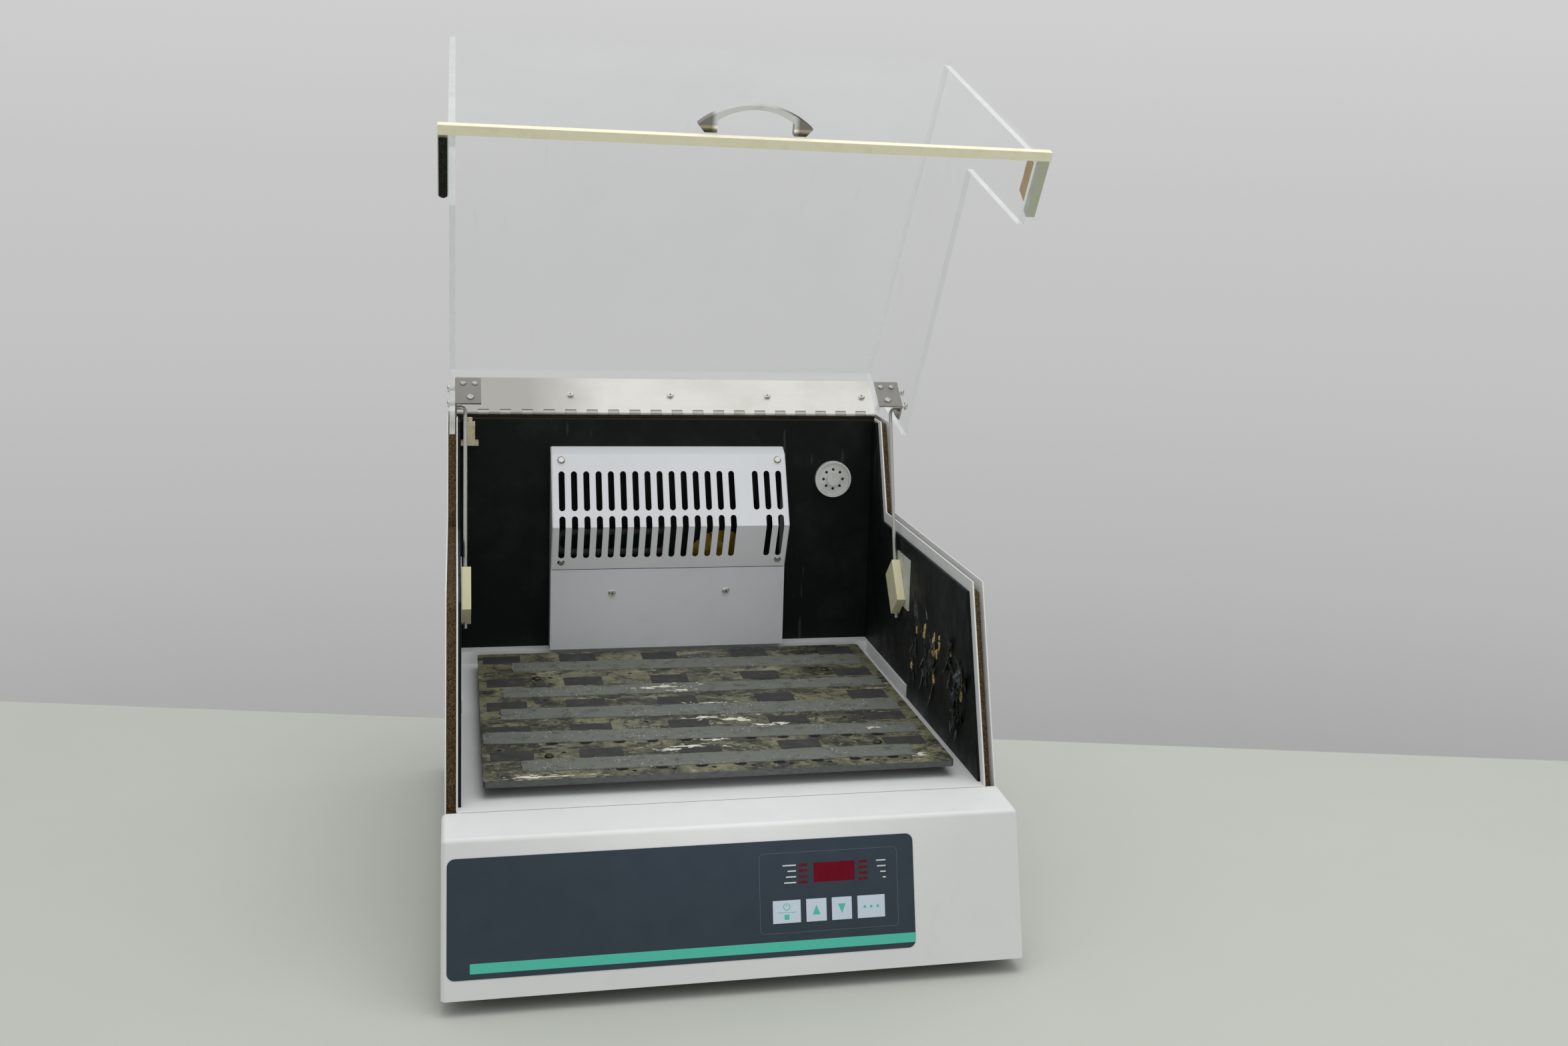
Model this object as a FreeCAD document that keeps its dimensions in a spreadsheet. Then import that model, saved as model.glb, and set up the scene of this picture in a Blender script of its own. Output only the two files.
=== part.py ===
import FreeCAD, Part
import math
import os
import re
import Sketcher

# Incubated benchtop shaker, lid standing open as in the picture.
# Millimetres, +Z up, the operator at -Y, +X to the operator's right.
# The origin is on the bench, under the middle of the whole instrument.

# Sizes that can be set by themselves, grouped by the piece that owns them.
CASE = {
    "foot_height": 14, "foot_radius": 17, "foot_taper": 3, "foot_in": 38.2, "foot_front": -297.6,
    "foot_back": 287.4,
    "case_back": 327.4, "pan_front": -342.6, "pan_gauge": 1.5, "pan_lip": 12,
    "skin_half": 263.2, "skin_gauge": 1.2, "channel_width": 9, "shell_gauge": 1.5,
    "deck_level": 148, "deck_gauge": 1.5, "chamber_back": 284.7, "shell_headroom": 2.4,
    "skin_tuck": 21, "skin_tuck_fall": 10,
    "wall_front": -249.1, "wall_low": 338.3, "wall_low_front": -177.6, "wall_step": 203.2,
    "wall_step_top": 249.4, "wall_high": 442.8,
    "rim_level": 163, "rim_side": 5, "rim_rear": 22, "rim_end": 60.4, "roof_gap": 3.5,
    "roof_tall": 12, "vent_slot_wide": 60, "vent_slot_tall": 5, "vent_slot_pitch": 12, "vent_slot_level": 50,
    "vent_slot_count": 6, "back_screw_rise": 75,
}
BEZEL = {
    "bezel_gauge": 2.8, "bezel_front": -353.9, "ledge_front": -313.8, "ledge_back": -251.4,
    "ledge_fall": 1.8, "bezel_round": 5,
}
LINER = {
    "liner_gauge": 3, "liner_margin": 12, "liner_gap": 0.3, "liner_top_gap": 3,
    "foam_recess": 12, "foam_depth": 14, "foam_fall": 18,
}
HINGE = {
    "hinge_back": 289.8, "hinge_level": 446.6, "hinge_end": 0.5, "knuckle_radius": 3, "knuckle_count": 40,
    "knuckle_gap": 0.3, "pin_radius": 1.5, "pin_fit": 0.05, "leaf_gauge": 1.5, "leaf_start": 3.4,
    "leaf_depth": 25, "leaf_tall": 58, "open_angle": 53.3,
}
LID = {
    "lid_play": 1.5, "lid_gauge": 6, "flange_start": 8, "flange_tall": 80, "lid_top_reach": 498,
    "lid_top_level": 40, "lid_reach": 618, "lid_drop": 293.5, "lid_round": 6,
    "side_edge_level": 116.6, "side_front_reach": 468, "side_foot_reach": 535.6, "side_foot_level": 293.5,
    "side_back_reach": 80, "side_heel_reach": 30, "side_heel_level": 5,
    "strip_wall": 1.2, "strip_grip": 8, "side_notch": 0.3,
    "bar_wide": 8.5, "bar_tall": 10, "bar_start": 545,
    "handle_half": 51, "handle_rise": 26, "handle_bar": 4, "handle_end": 7, "handle_toe": 45,
    "handle_heel": 34,
    "handle_inner_end": 11, "handle_deep": 9, "handle_up": 22, "lid_screw_level": 28, "lid_screw_in": 14.5,
    "lid_screw_count": 5,
}
STAY = {
    "rod_out": 1.2, "rod_radius": 2, "rod_fit": 0.05, "rod_offset": 9, "rod_tail": 36, "rod_bend": 5,
    "stay_reach": 91.4, "stay_drop": 85.1, "pivot_back": 100.4, "pivot_rise": 122, "pivot_radius": 4,
    "guide_gap": 0.3, "guide_plate_gauge": 1.2, "guide_plate_deep": 60, "guide_plate_tall": 59,
    "guide_plate_shift": -8, "guide_plate_lift": 9, "guide_tilt": 24, "guide_shift": 5, "pivot_long": 8,
    "guide_wide": 9.6, "guide_deep": 36, "guide_tall": 52,
    "bracket_gauge": 2, "bracket_near": 106, "bracket_far": 76, "bracket_high": 53, "bracket_low": 94,
    "bracket_wide": 28, "bracket_screw_reach": 96, "bracket_cut": 8, "bracket_cut_tall": 16,
    "bracket_screw_high": 60,
    "bracket_screw_low": 84, "open_pivot_gap": 0.3,
}
COVER = {
    "cover_left": -144.5, "cover_right": 136.5, "cover_gauge": 1.2, "cover_face": 249.4, "cover_foot": 166,
    "hood_foot": 264.5, "hood_brow": 220.4, "hood_brow_rise": 55.9, "hood_fold_rise": 135.5,
    "hood_top_deep": 14.4,
    "hood_top_rise": 142.5, "slot_count": 19, "slot_wide": 7.2, "slot_pitch": 14.4, "slot_first": -132.8,
    "slot_lower_start": 14.5, "slot_lower_end": 68.1, "slot_upper_start": 73.4, "slot_upper_end": 117.1,
    "cover_screw_left": -72, "cover_screw_right": 65, "cover_screw_drop": 30.5, "cover_screw_long": 3.5,
    "fan_x": 62, "fan_level": 261, "fan_radius": 44, "fan_deep": 18, "fan_face": 254.4,
    "fan_hub": 12, "fan_shaft": 3, "fan_shaft_fit": 0.05, "fan_blade": 1.2, "fan_blade_long": 14,
    "fan_plate": 1.5,
    "fan_blade_count": 18,
    "fan_motor_radius": 28, "fan_motor_long": 30, "fan_shaft_long": 42, "fan_hole": 8,
    "heater_left": -125, "heater_right": -10, "heater_level": 282, "heater_step": 24, "heater_radius": 4,
    "heater_face": 264.4, "vent_in": 48.1, "vent_level": 367, "vent_radius": 22.5, "vent_rim": 2.2,
    "vent_body": 18, "vent_flange": 3, "vent_boss": 8, "vent_hole": 1.3, "vent_hole_ring": 12,
    "vent_proud": 4,
    "vent_hole_count": 8,
}
DRIVE = {
    "orbit_radius": 12.7, "platform_side": 457.2, "platform_gauge": 6.35, "platform_back": 10,
    "platform_level": 165.4, "platform_round": 4, "grip_gauge": 1,
    "carrier_gauge": 5.5, "carrier_arm": 30, "carrier_front": -182.6, "plate_screw_front": -152.6,
    "boss_radius": 20, "crank_radius": 26, "crank_tall": 10,
    "crank_top": 131, "crank_pin": 8, "crank_pin_tall": 15, "shaft_radius": 10, "shaft_foot": 20,
    "boss_foot": 132,
    "boss_bore": 12,
    "running_fit": 0.05, "seat_gap": 0.3, "bearing_outer": 16, "bearing_tall": 12,
    "housing_radius": 27, "housing_tall": 78, "housing_flange": 50, "housing_flange_tall": 8,
    "housing_bore": 15,
    "housing_pocket": 14, "bearing_seat": 19,
    "deck_hole": 36, "idler_in": 98.2, "idler_back": 115,
    "pulley_radius": 70, "pulley_tall": 14, "pulley_level": 98, "pulley_groove": 4,
    "weight_radius": 62, "weight_tall": 8, "weight_inner": 24,
    "motor_x": 135, "motor_y": -147.6, "motor_radius": 44, "motor_tall": 76, "motor_shaft": 6,
    "motor_bore": 20,
    "motor_pulley_radius": 24, "belt_gauge": 3.5, "belt_gap": 0.3, "belt_tall": 8,
}
FRONT = {
    "overlay_gauge": 0.4, "overlay_in": 5, "overlay_right": 161.2, "overlay_top": 16.6,
    "overlay_bottom": 120.8,
    "overlay_round": 7, "window_left": 66, "window_right": 105, "window_top": 38.3, "window_bottom": 56,
    "window_gauge": 2.6, "key_top": 70.7, "key_bottom": 91, "key_proud": 0.5, "key_gap": 0.35,
    "key_travel": 0.6,
    "key_flange": 1.6, "key_flange_gauge": 1.4, "key_stem": 1.5, "board_gap": 12, "post_radius": 3,
    "post_in": 5,
    "start_left": 27.3, "start_right": 53.1, "up_left": 58.4, "up_right": 77.3, "down_left": 82.4,
    "down_right": 101.1,
    "select_left": 106.6, "select_right": 132.5, "board_gauge": 1.6,
    "board_left": 12, "board_right": 150, "board_top": 26, "board_bottom": 104, "lamp_wide": 8.4,
    "lamp_tall": 2.6,
    "lamp_pitch": 5.2, "lamp_top": 38.4, "lamp_left": 51.9, "lamp_right": 108.5,
    "supply_in": 48.2, "supply_wide": 120, "supply_front": -117.6, "supply_deep": 100, "supply_tall": 62,
    "inlet_in": 73.2, "inlet_level": 62, "inlet_wide": 28, "inlet_tall": 21, "inlet_deep": 24,
    "inlet_wall": 2.4,
    "rocker_in": 123.2, "switch_half_wide": 7, "switch_half_tall": 11, "switch_gap": 0.4, "switch_deep": 12,
    "switch_proud": 3, "rocker_rest": 8, "screw_radius": 2.5, "screw_head": 4.5, "screw_head_tall": 2.6,
    "screw_gap": 0.15,
    "lid_switch_in": 0.7, "lid_switch_wide": 20, "lid_switch_deep": 9, "lid_switch_tall": 28,
    "lid_switch_level": 409.5, "lid_switch_neck": 12, "plunger_radius": 3, "plunger_proud": 5,
    "plunger_sunk": 8,
    "plunger_travel": 1.5, "lug_gauge": 1.5,
}
SIZES = {**CASE, **BEZEL, **LINER, **HINGE, **LID, **STAY, **COVER, **DRIVE, **FRONT}

# Sizes that follow from the ones above.
FOLLOW = {
    "lid_half": "shell_half + shell_gauge + lid_play + lid_gauge",
    "strip_half": "lid_half + bar_wide",
    "rod_x": "guide_face - guide_wide / 2 + rod_out",
    "bezel_half": "skin_half + bezel_gauge",
    "hinge_half": "lid_inner - hinge_end",
    "knuckle_pitch": "2 * hinge_half / knuckle_count",
    "lid_switch_x": "-(liner_face - lid_switch_wide / 2 - lid_switch_in)",
    "vent_x": "liner_face - vent_in",
    "foot_side": "skin_half - foot_in",
    "lid_screw_left": "-(lid_inner - lid_screw_in)",
    "lid_screw_pitch": "-2 * lid_screw_left / (lid_screw_count - 1)",
    "overlay_left": "-(bezel_half - overlay_in)",
    "supply_left": "-(skin_half - supply_in)",
    "idler_side": "skin_half - idler_in",
    "carrier_half": "idler_side + carrier_arm",
    "inlet_x": "-(skin_half - inlet_in)",
    "switch_x": "-(skin_half - rocker_in)",
    "shell_half": "skin_half - skin_gauge - channel_width - shell_gauge",
    "base_level": "foot_height",
    "pan_top": "foot_height + pan_gauge",
    "ledge_level": "deck_level - ledge_fall",
    "roof_level": "hinge_level - knuckle_radius",
    "face_lean": "atan((ledge_front - bezel_front) / (ledge_level - base_level)) / 1 deg",
    "wall_slope": "(wall_low_front - wall_front) / (wall_low - deck_level)",
    "step_slope": "(wall_step_top - wall_step) / (wall_high - wall_low)",
    "face_tan": "(ledge_front - bezel_front) / (ledge_level - base_level)",
    "face_sec": "sqrt(1 + face_tan ^ 2)",
    "wall_sec": "sqrt(1 + wall_slope ^ 2)",
    "step_sec": "sqrt(1 + step_slope ^ 2)",
    "lid_inner": "lid_half - lid_gauge",
    "flange_back": "lid_gauge - leaf_gauge",
    "lid_lean": "atan((lid_reach - lid_top_reach) / (lid_drop + lid_top_level)) / 1 deg",
    "panel_long": "sqrt((lid_reach - lid_top_reach) ^ 2 + (lid_drop + lid_top_level) ^ 2)",
    "top_fall": "(flange_tall - lid_top_level) / (lid_top_reach + flange_back)",
    "front_run": "(lid_reach - lid_top_reach) / (lid_drop + lid_top_level)",
    "inner_rise": "flange_tall - lid_gauge * sqrt(1 + top_fall ^ 2) - top_fall * flange_back",
    "inner_run": "lid_top_reach + front_run * lid_top_level - lid_gauge * sqrt(1 + front_run ^ 2)",
    "inner_level": "(inner_rise - top_fall * inner_run) / (1 - top_fall * front_run)",
    "inner_reach": "inner_run - front_run * inner_level",
    "stay_open_forward": "stay_reach * cos(open_angle * 1 deg) - (0 - stay_drop) * sin(open_angle * 1 deg)",
    "stay_open_up": "stay_reach * sin(open_angle * 1 deg) + (0 - stay_drop) * cos(open_angle * 1 deg)",
    "stay_open_y": "hinge_back - stay_open_forward - pivot_back",
    "stay_open_z": "hinge_level + stay_open_up - pivot_level",
    "stay_open_span": "sqrt(stay_open_y ^ 2 + stay_open_z ^ 2)",
    "stay_open_turn": "(atan2(stay_open_y; stay_open_z) - asin(rod_offset / stay_open_span)) / 1 deg",
    "stay_open_slide": "sqrt(stay_open_span ^ 2 - rod_offset ^ 2)",
    "pivot_level": "deck_level + pivot_rise",
    "liner_face": "shell_half - liner_gauge",
    "plate_face": "liner_face - guide_plate_gauge",
    "guide_face": "plate_face - guide_gap",
    "orbit_back": "platform_back - orbit_radius",
    "platform_under": "platform_level - platform_gauge",
    "carrier_under": "platform_under - carrier_gauge",
    "grip_top": "platform_level + grip_gauge",
    "idler_y": "orbit_back + idler_back",
    "belt_span": "sqrt(motor_x ^ 2 + (motor_y - orbit_back) ^ 2)",
    "belt_turn": "atan2(motor_y - orbit_back; motor_x) / 1 deg",
    "belt_wrap": "acos((pulley_radius - motor_pulley_radius) / belt_span) / 1 deg",
    "hood_fold": "hood_back - hood_top_deep",
    "hood_brow_level": "hood_foot + hood_brow_rise",
    "hood_fold_level": "hood_foot + hood_fold_rise",
    "hood_top_level": "hood_foot + hood_top_rise",
    "slot_lower_low": "hood_foot + slot_lower_start",
    "slot_lower_high": "hood_foot + slot_lower_end",
    "slot_upper_low": "hood_foot + slot_upper_start",
    "slot_upper_high": "hood_foot + slot_upper_end",
    "cover_screw_level": "hood_foot - cover_screw_drop",
    "hood_up_turn": "atan2(hood_fold_level - hood_brow_level; hood_fold - hood_brow) / 1 deg",
    "hood_low_turn": "atan2(hood_brow_level - hood_foot; hood_brow - cover_face - cover_gauge / 2) / 1 deg",
    "hood_back": "chamber_back - liner_gauge - cover_gauge / 2 - seat_gap",
    "board_face": "bezel_gauge + board_gap",
}

doc = FreeCAD.newDocument("incubated_shaker")
sheet = doc.addObject("Spreadsheet::Sheet", "Sizes")
NODES = []


def fill_sheet():
    """Write every named size, then every size that follows, one row each."""
    rows = [(name, str(value)) for name, value in SIZES.items()]
    rows += [(name, "=" + formula) for name, formula in FOLLOW.items()]
    for row, (name, text) in enumerate(rows, 1):
        sheet.set(f"A{row}", name)
        sheet.set(f"B{row}", text)
        sheet.setAlias(f"B{row}", name)
    doc.recompute()


def q(words):
    """Turn plain size names into names of sheet cells."""
    def cell(found):
        word = found.group()
        return "Sizes." + word if word in SIZES or word in FOLLOW else word
    return re.sub(r"[a-z_][a-z0-9_]*", cell, str(words))


def size(words):
    """The present value of an expression of sizes."""
    return float(sheet.evalExpression(q(words)))


def bind(thing, **expressions):
    for name, words in expressions.items():
        thing.setExpression(name, q(words))


def place(thing, base=("0", "0", "0"), turn=None, axis=(1, 0, 0)):
    """Put a piece at a point, turned about an axis by an angle in degrees."""
    if turn is not None:
        thing.Placement.Rotation = FreeCAD.Rotation(FreeCAD.Vector(*axis), size(turn))
        thing.setExpression("Placement.Rotation.Angle", q(f"({turn}) * 1 deg"))
        thing.Placement.Rotation.Axis = FreeCAD.Vector(*axis)
    for letter, words in zip("xyz", base):
        thing.setExpression(f"Placement.Base.{letter}", q(words))
    return thing


def box(name, low, high):
    thing = doc.addObject("Part::Box", name)
    for prop, a, b in zip(("Length", "Width", "Height"), low, high):
        thing.setExpression(prop, q(f"({b}) - ({a})"))
    return place(thing, low)


def rod(name, base, radius, length, along="Z"):
    """A round bar from base towards +X, +Y or +Z."""
    thing = doc.addObject("Part::Cylinder", name)
    turns = {"X": ((0, 1, 0), 90), "Y": ((1, 0, 0), -90)}
    if along in turns:
        axis, angle = turns[along]
        thing.Placement.Rotation = FreeCAD.Rotation(FreeCAD.Vector(*axis), angle)
    bind(thing, Radius=radius, Height=length)
    return place(thing, base)


def cone(name, base, lower, upper, length):
    thing = doc.addObject("Part::Cone", name)
    bind(thing, Radius1=lower, Radius2=upper, Height=length)
    return place(thing, base)


def fuse(name, parts):
    thing = doc.addObject("Part::MultiFuse", name)
    thing.Shapes = parts
    return thing


def group(name, parts):
    thing = doc.addObject("Part::Compound", name)
    thing.Links = parts
    return thing


def cut(name, base, tools):
    thing = doc.addObject("Part::Cut", name)
    thing.Base = base
    thing.Tool = tools[0] if len(tools) == 1 else group(name + "_tools", tools)
    return thing


def rounded(name, base, radius, chosen):
    """Round the edges that the test picks out by their middle point and direction."""
    doc.recompute()
    amount = size(radius)
    picked = []
    for number, edge in enumerate(base.Shape.Edges, 1):
        middle = edge.valueAt((edge.FirstParameter + edge.LastParameter) / 2)
        along = edge.tangentAt(edge.FirstParameter)
        if chosen(middle, along):
            picked.append((number, amount, amount))
    thing = doc.addObject("Part::Fillet", name)
    thing.Base = base
    thing.Edges = picked
    return thing


def plane_of(body, role):
    return [feature for feature in body.Origin.OriginFeatures if feature.Role == role][0]


def outline(sketch, points, circles=()):
    """Draw a closed outline and round holes, each point bound to its two expressions."""
    corners = [FreeCAD.Vector(size(a), size(b), 0) for a, b in points]
    count = len(corners)
    for i in range(count):
        sketch.addGeometry(Part.LineSegment(corners[i], corners[(i + 1) % count]), False)
    for i in range(count):
        sketch.addConstraint(Sketcher.Constraint("Coincident", i, 2, (i + 1) % count, 1))
    for i, words in enumerate(points):
        pin_point(sketch, i, 1, corners[i], words)
    for a, b, radius in circles:
        centre = FreeCAD.Vector(size(a), size(b), 0)
        index = sketch.addGeometry(Part.Circle(centre, FreeCAD.Vector(0, 0, 1), size(radius)), False)
        pin_point(sketch, index, 3, centre, (a, b))
        number = sketch.addConstraint(Sketcher.Constraint("Radius", index, size(radius)))
        sketch.setExpression(f"Constraints[{number}]", q(radius))


def pin_point(sketch, index, which, point, words):
    for kind, value, word in (("DistanceX", point.x, words[0]), ("DistanceY", point.y, words[1])):
        number = sketch.addConstraint(Sketcher.Constraint(kind, -1, 1, index, which, value))
        sketch.setExpression(f"Constraints[{number}]", q(word))


def prism(name, plane, points, low, high, circles=()):
    """A flat outline on the YZ, XY or XZ plane, as thick as from low to high along its normal."""
    body = doc.addObject("PartDesign::Body", name)
    sketch = body.newObject("Sketcher::SketchObject", name + "_sketch")
    sketch.AttachmentSupport = [(plane_of(body, plane + "_Plane"), "")]
    sketch.MapMode = "FlatFace"
    outline(sketch, points, circles)
    start = f"-({high})" if plane == "XZ" else low
    sketch.setExpression("AttachmentOffset.Base.z", q(start))
    pad = body.newObject("PartDesign::Pad", name + "_pad")
    pad.Profile = sketch
    bind(pad, Length=f"({high}) - ({low})")
    return body


def turned(name, points, base=("0", "0", "0"), turn=None, axis=(1, 0, 0)):
    """A turned piece: an outline of radius and height, spun about its own upright axis."""
    body = doc.addObject("PartDesign::Body", name)
    sketch = body.newObject("Sketcher::SketchObject", name + "_sketch")
    sketch.AttachmentSupport = [(plane_of(body, "XZ_Plane"), "")]
    sketch.MapMode = "FlatFace"
    outline(sketch, points)
    spin = body.newObject("PartDesign::Revolution", name + "_spin")
    spin.Profile = sketch
    spin.ReferenceAxis = (sketch, ["V_Axis"])
    spin.Angle = 360
    return place(body, base, turn, axis)


def folded(name, points, gauge, low, high):
    """A sheet folded along an open middle line in the YZ plane, from low to high in x."""
    sketch = doc.addObject("Sketcher::SketchObject", name + "_line")
    sketch.Placement.Rotation = FreeCAD.Rotation(FreeCAD.Vector(1, 1, 1), 120)
    corners = [FreeCAD.Vector(size(a), size(b), 0) for a, b in points]
    for i in range(len(corners) - 1):
        sketch.addGeometry(Part.LineSegment(corners[i], corners[i + 1]), False)
    for i in range(len(corners) - 2):
        sketch.addConstraint(Sketcher.Constraint("Coincident", i, 2, i + 1, 1))
    for i, words in enumerate(points[:-1]):
        pin_point(sketch, i, 1, corners[i], words)
    pin_point(sketch, len(corners) - 2, 2, corners[-1], points[-1])
    band = doc.addObject("Part::Offset2D", name + "_band")
    band.Source = sketch
    band.Fill = True
    band.Join = 2
    bind(band, Value=f"({gauge}) / 2")
    pulled = doc.addObject("Part::Extrusion", name + "_pulled")
    pulled.Base = band
    pulled.DirMode = "Custom"
    pulled.Dir = FreeCAD.Vector(1, 0, 0)
    pulled.Solid = True
    bind(pulled, LengthFwd=f"({high}) - ({low})")
    return place(pulled, (low, "0", "0"))


def solid(name, shape):
    """A form that neither sketches nor primitives fit, from the same sizes."""
    thing = doc.addObject("Part::Feature", name)
    thing.Shape = shape
    return thing


def node(name, thing):
    """Finish a sub-part: its label names its file."""
    thing.Label = name
    NODES.append(thing)
    return thing


def on_lid(name, parts):
    """Pieces drawn about the hinge line with the lid shut, carried up to the open angle."""
    whole = group(name + "_on_lid", parts)
    return node(name, place(whole, ("0", "hinge_back", "hinge_level"), "-open_angle"))


def on_face(name, parts):
    """Pieces drawn on the leaning front face: Z up the face from its top edge, Y into the case."""
    whole = group(name + "_on_face", parts)
    return node(name, place(whole, ("0", "ledge_front", "ledge_level"), "-face_lean"))


def across(side, near, far):
    """The lower and upper x of a piece between near and far from the middle, on one side."""
    return (near, far) if side > 0 else (f"-({far})", f"-({near})")


SIDES = (("left", -1), ("right", 1))


def screw(name, base, turn, long="cover_screw_long"):
    """A pan-head screw, its head towards the turned upright axis and its base on the face it holds."""
    return turned(name, [("0", f"-({long})"), ("screw_radius", f"-({long})"), ("screw_radius", "0"),
                         ("screw_head", "0"), ("screw_head", "screw_head_tall / 2"),
                         ("screw_head - screw_head_tall / 2", "screw_head_tall"), ("0", "screw_head_tall")],
                  base, turn)


def make_feet():
    pads = []
    for x in ("-foot_side", "foot_side"):
        for y in ("foot_front", "foot_back"):
            pads.append(cone("foot", (x, y, "0"), "foot_radius - foot_taper", "foot_radius", "foot_height"))
    node("feet", group("feet_set", pads))


def make_base_pan():
    edge = "skin_half - skin_gauge"
    back = "case_back - skin_gauge"
    tray = box("pan_tray", (f"-({edge})", "pan_front", "base_level"), (edge, back, "base_level + pan_lip"))
    hollow = box("pan_hollow", (f"-({edge}) + pan_gauge", "pan_front + pan_gauge", "pan_top"),
                 (f"{edge} - pan_gauge", f"{back} - pan_gauge", "base_level + 2 * pan_lip"))
    node("base_pan", cut("pan", tray, [hollow]))


KEYS = (("key_start", "start_left", "start_right"), ("key_up", "up_left", "up_right"),
        ("key_down", "down_left", "down_right"), ("key_select", "select_left", "select_right"))
LAMP_ROWS = (0, 1, 2, 3)


def face_box(name, left, right, top, bottom, margin, low, high):
    """A block through the leaning face, in the face's own axes, wider by a margin all round."""
    return box(name, (f"{left} - ({margin})", low, f"-({bottom}) - ({margin})"),
               (f"{right} + {margin}", high, f"-({top}) + {margin}"))


def face_holes(name, low, high):
    """Tools for the window, the keys and the lamps, between two depths."""
    tools = [face_box(name + "_window", "window_left", "window_right", "window_top", "window_bottom", "0",
                      low, high)]
    for key, left, right in KEYS:
        tools.append(face_box(name + "_key", left, right, "key_top", "key_bottom", "key_gap", low, high))
    return tools + lamp_blocks(name + "_lamp", low, high)


def lamp_blocks(name, low, high):
    lamps = []
    for left in ("lamp_left", "lamp_right"):
        for row in LAMP_ROWS:
            top = f"lamp_top + {row} * lamp_pitch"
            lamps.append(face_box(name, left, f"{left} + lamp_wide", top, f"{top} + lamp_tall", "0", low,
                                  high))
    return lamps


def make_front_bezel():
    outer = prism("bezel_outer", "YZ", [
        ("ledge_back", "deck_level"), ("ledge_front", "ledge_level"),
        ("bezel_front", "base_level"), ("ledge_back", "base_level")], "-bezel_half", "bezel_half")
    reach = size("ledge_back - bezel_round")
    floor = size("base_level + bezel_round")
    soft = rounded("bezel_soft", outer, "bezel_round",
                   lambda m, along: m.y < reach and m.z > floor and not (abs(along.x) > 0.5 and m.z < floor))
    hollow = prism("bezel_hollow", "YZ", [
        ("ledge_back + pan_lip", "deck_level - bezel_gauge"),
        ("ledge_back", "deck_level - bezel_gauge"),
        ("ledge_front + bezel_gauge * face_sec - bezel_gauge * face_tan", "ledge_level - bezel_gauge"),
        ("bezel_front + bezel_gauge * face_sec - pan_lip * face_tan", "base_level - pan_lip"),
        ("ledge_back + pan_lip", "base_level - pan_lip")],
        "-bezel_half + bezel_gauge", "bezel_half - bezel_gauge")
    shell = cut("bezel_shell", soft, [hollow])
    holes = group("bezel_holes", face_holes("bezel_hole", "-bezel_gauge", "2 * bezel_gauge"))
    place(holes, ("0", "ledge_front", "ledge_level"), "-face_lean")
    node("front_bezel", cut("bezel", shell, [holes]))


def make_front_panel():
    sheet_box = face_box("overlay_sheet", "overlay_left", "overlay_right", "overlay_top", "overlay_bottom",
                         "0", "-overlay_gauge", "0")
    soft = rounded("overlay_soft", sheet_box, "overlay_round", lambda m, along: abs(along.y) > 0.5)
    on_face("front_overlay", [cut("overlay", soft, face_holes("overlay_hole", "-2 * overlay_gauge",
                                                              "overlay_gauge"))])
    on_face("display_window", [face_box("window_pane", "window_left", "window_right", "window_top",
                                        "window_bottom",
                                        "0", "-overlay_gauge", "window_gauge")])
    on_face("indicator_lamps", lamp_blocks("lamp", "-overlay_gauge", "board_face"))
    for name, left, right in KEYS:
        cap = face_box(name + "_cap", left, right, "key_top", "key_bottom", "0",
                       "-overlay_gauge - key_proud", "bezel_gauge + seat_gap")
        lip = face_box(name + "_lip", left, right, "key_top", "key_bottom", "key_flange",
                       "bezel_gauge + seat_gap", "bezel_gauge + seat_gap + key_flange_gauge")
        stem = rod(name + "_stem", (f"({left} + {right}) / 2", "bezel_gauge + seat_gap",
                                    "-(key_top + key_bottom) / 2"), "key_stem",
                   "board_gap - key_travel - 2 * seat_gap", "Y")
        on_face(name, [fuse(name + "_whole", [cap, lip, stem])])
    board = face_box("board_plate", "board_left", "board_right", "board_top", "board_bottom", "0",
                     "board_face", "board_face + board_gauge")
    posts = []
    for x in ("board_left + post_in", "board_right - post_in"):
        for z in ("-board_top - post_in", "-board_bottom + post_in"):
            posts.append(rod("board_post", (x, "bezel_gauge", z), "post_radius", "board_gap", "Y"))
    on_face("control_board", [board] + posts)


def wall_at(level):
    """How far back the case wall's front edge is at a level."""
    return f"(wall_front + wall_slope * (({level}) - deck_level))"


def step_at(level):
    """How far back the rising rear step of the wall is at a level."""
    return f"(wall_step + step_slope * (({level}) - wall_low))"


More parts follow.
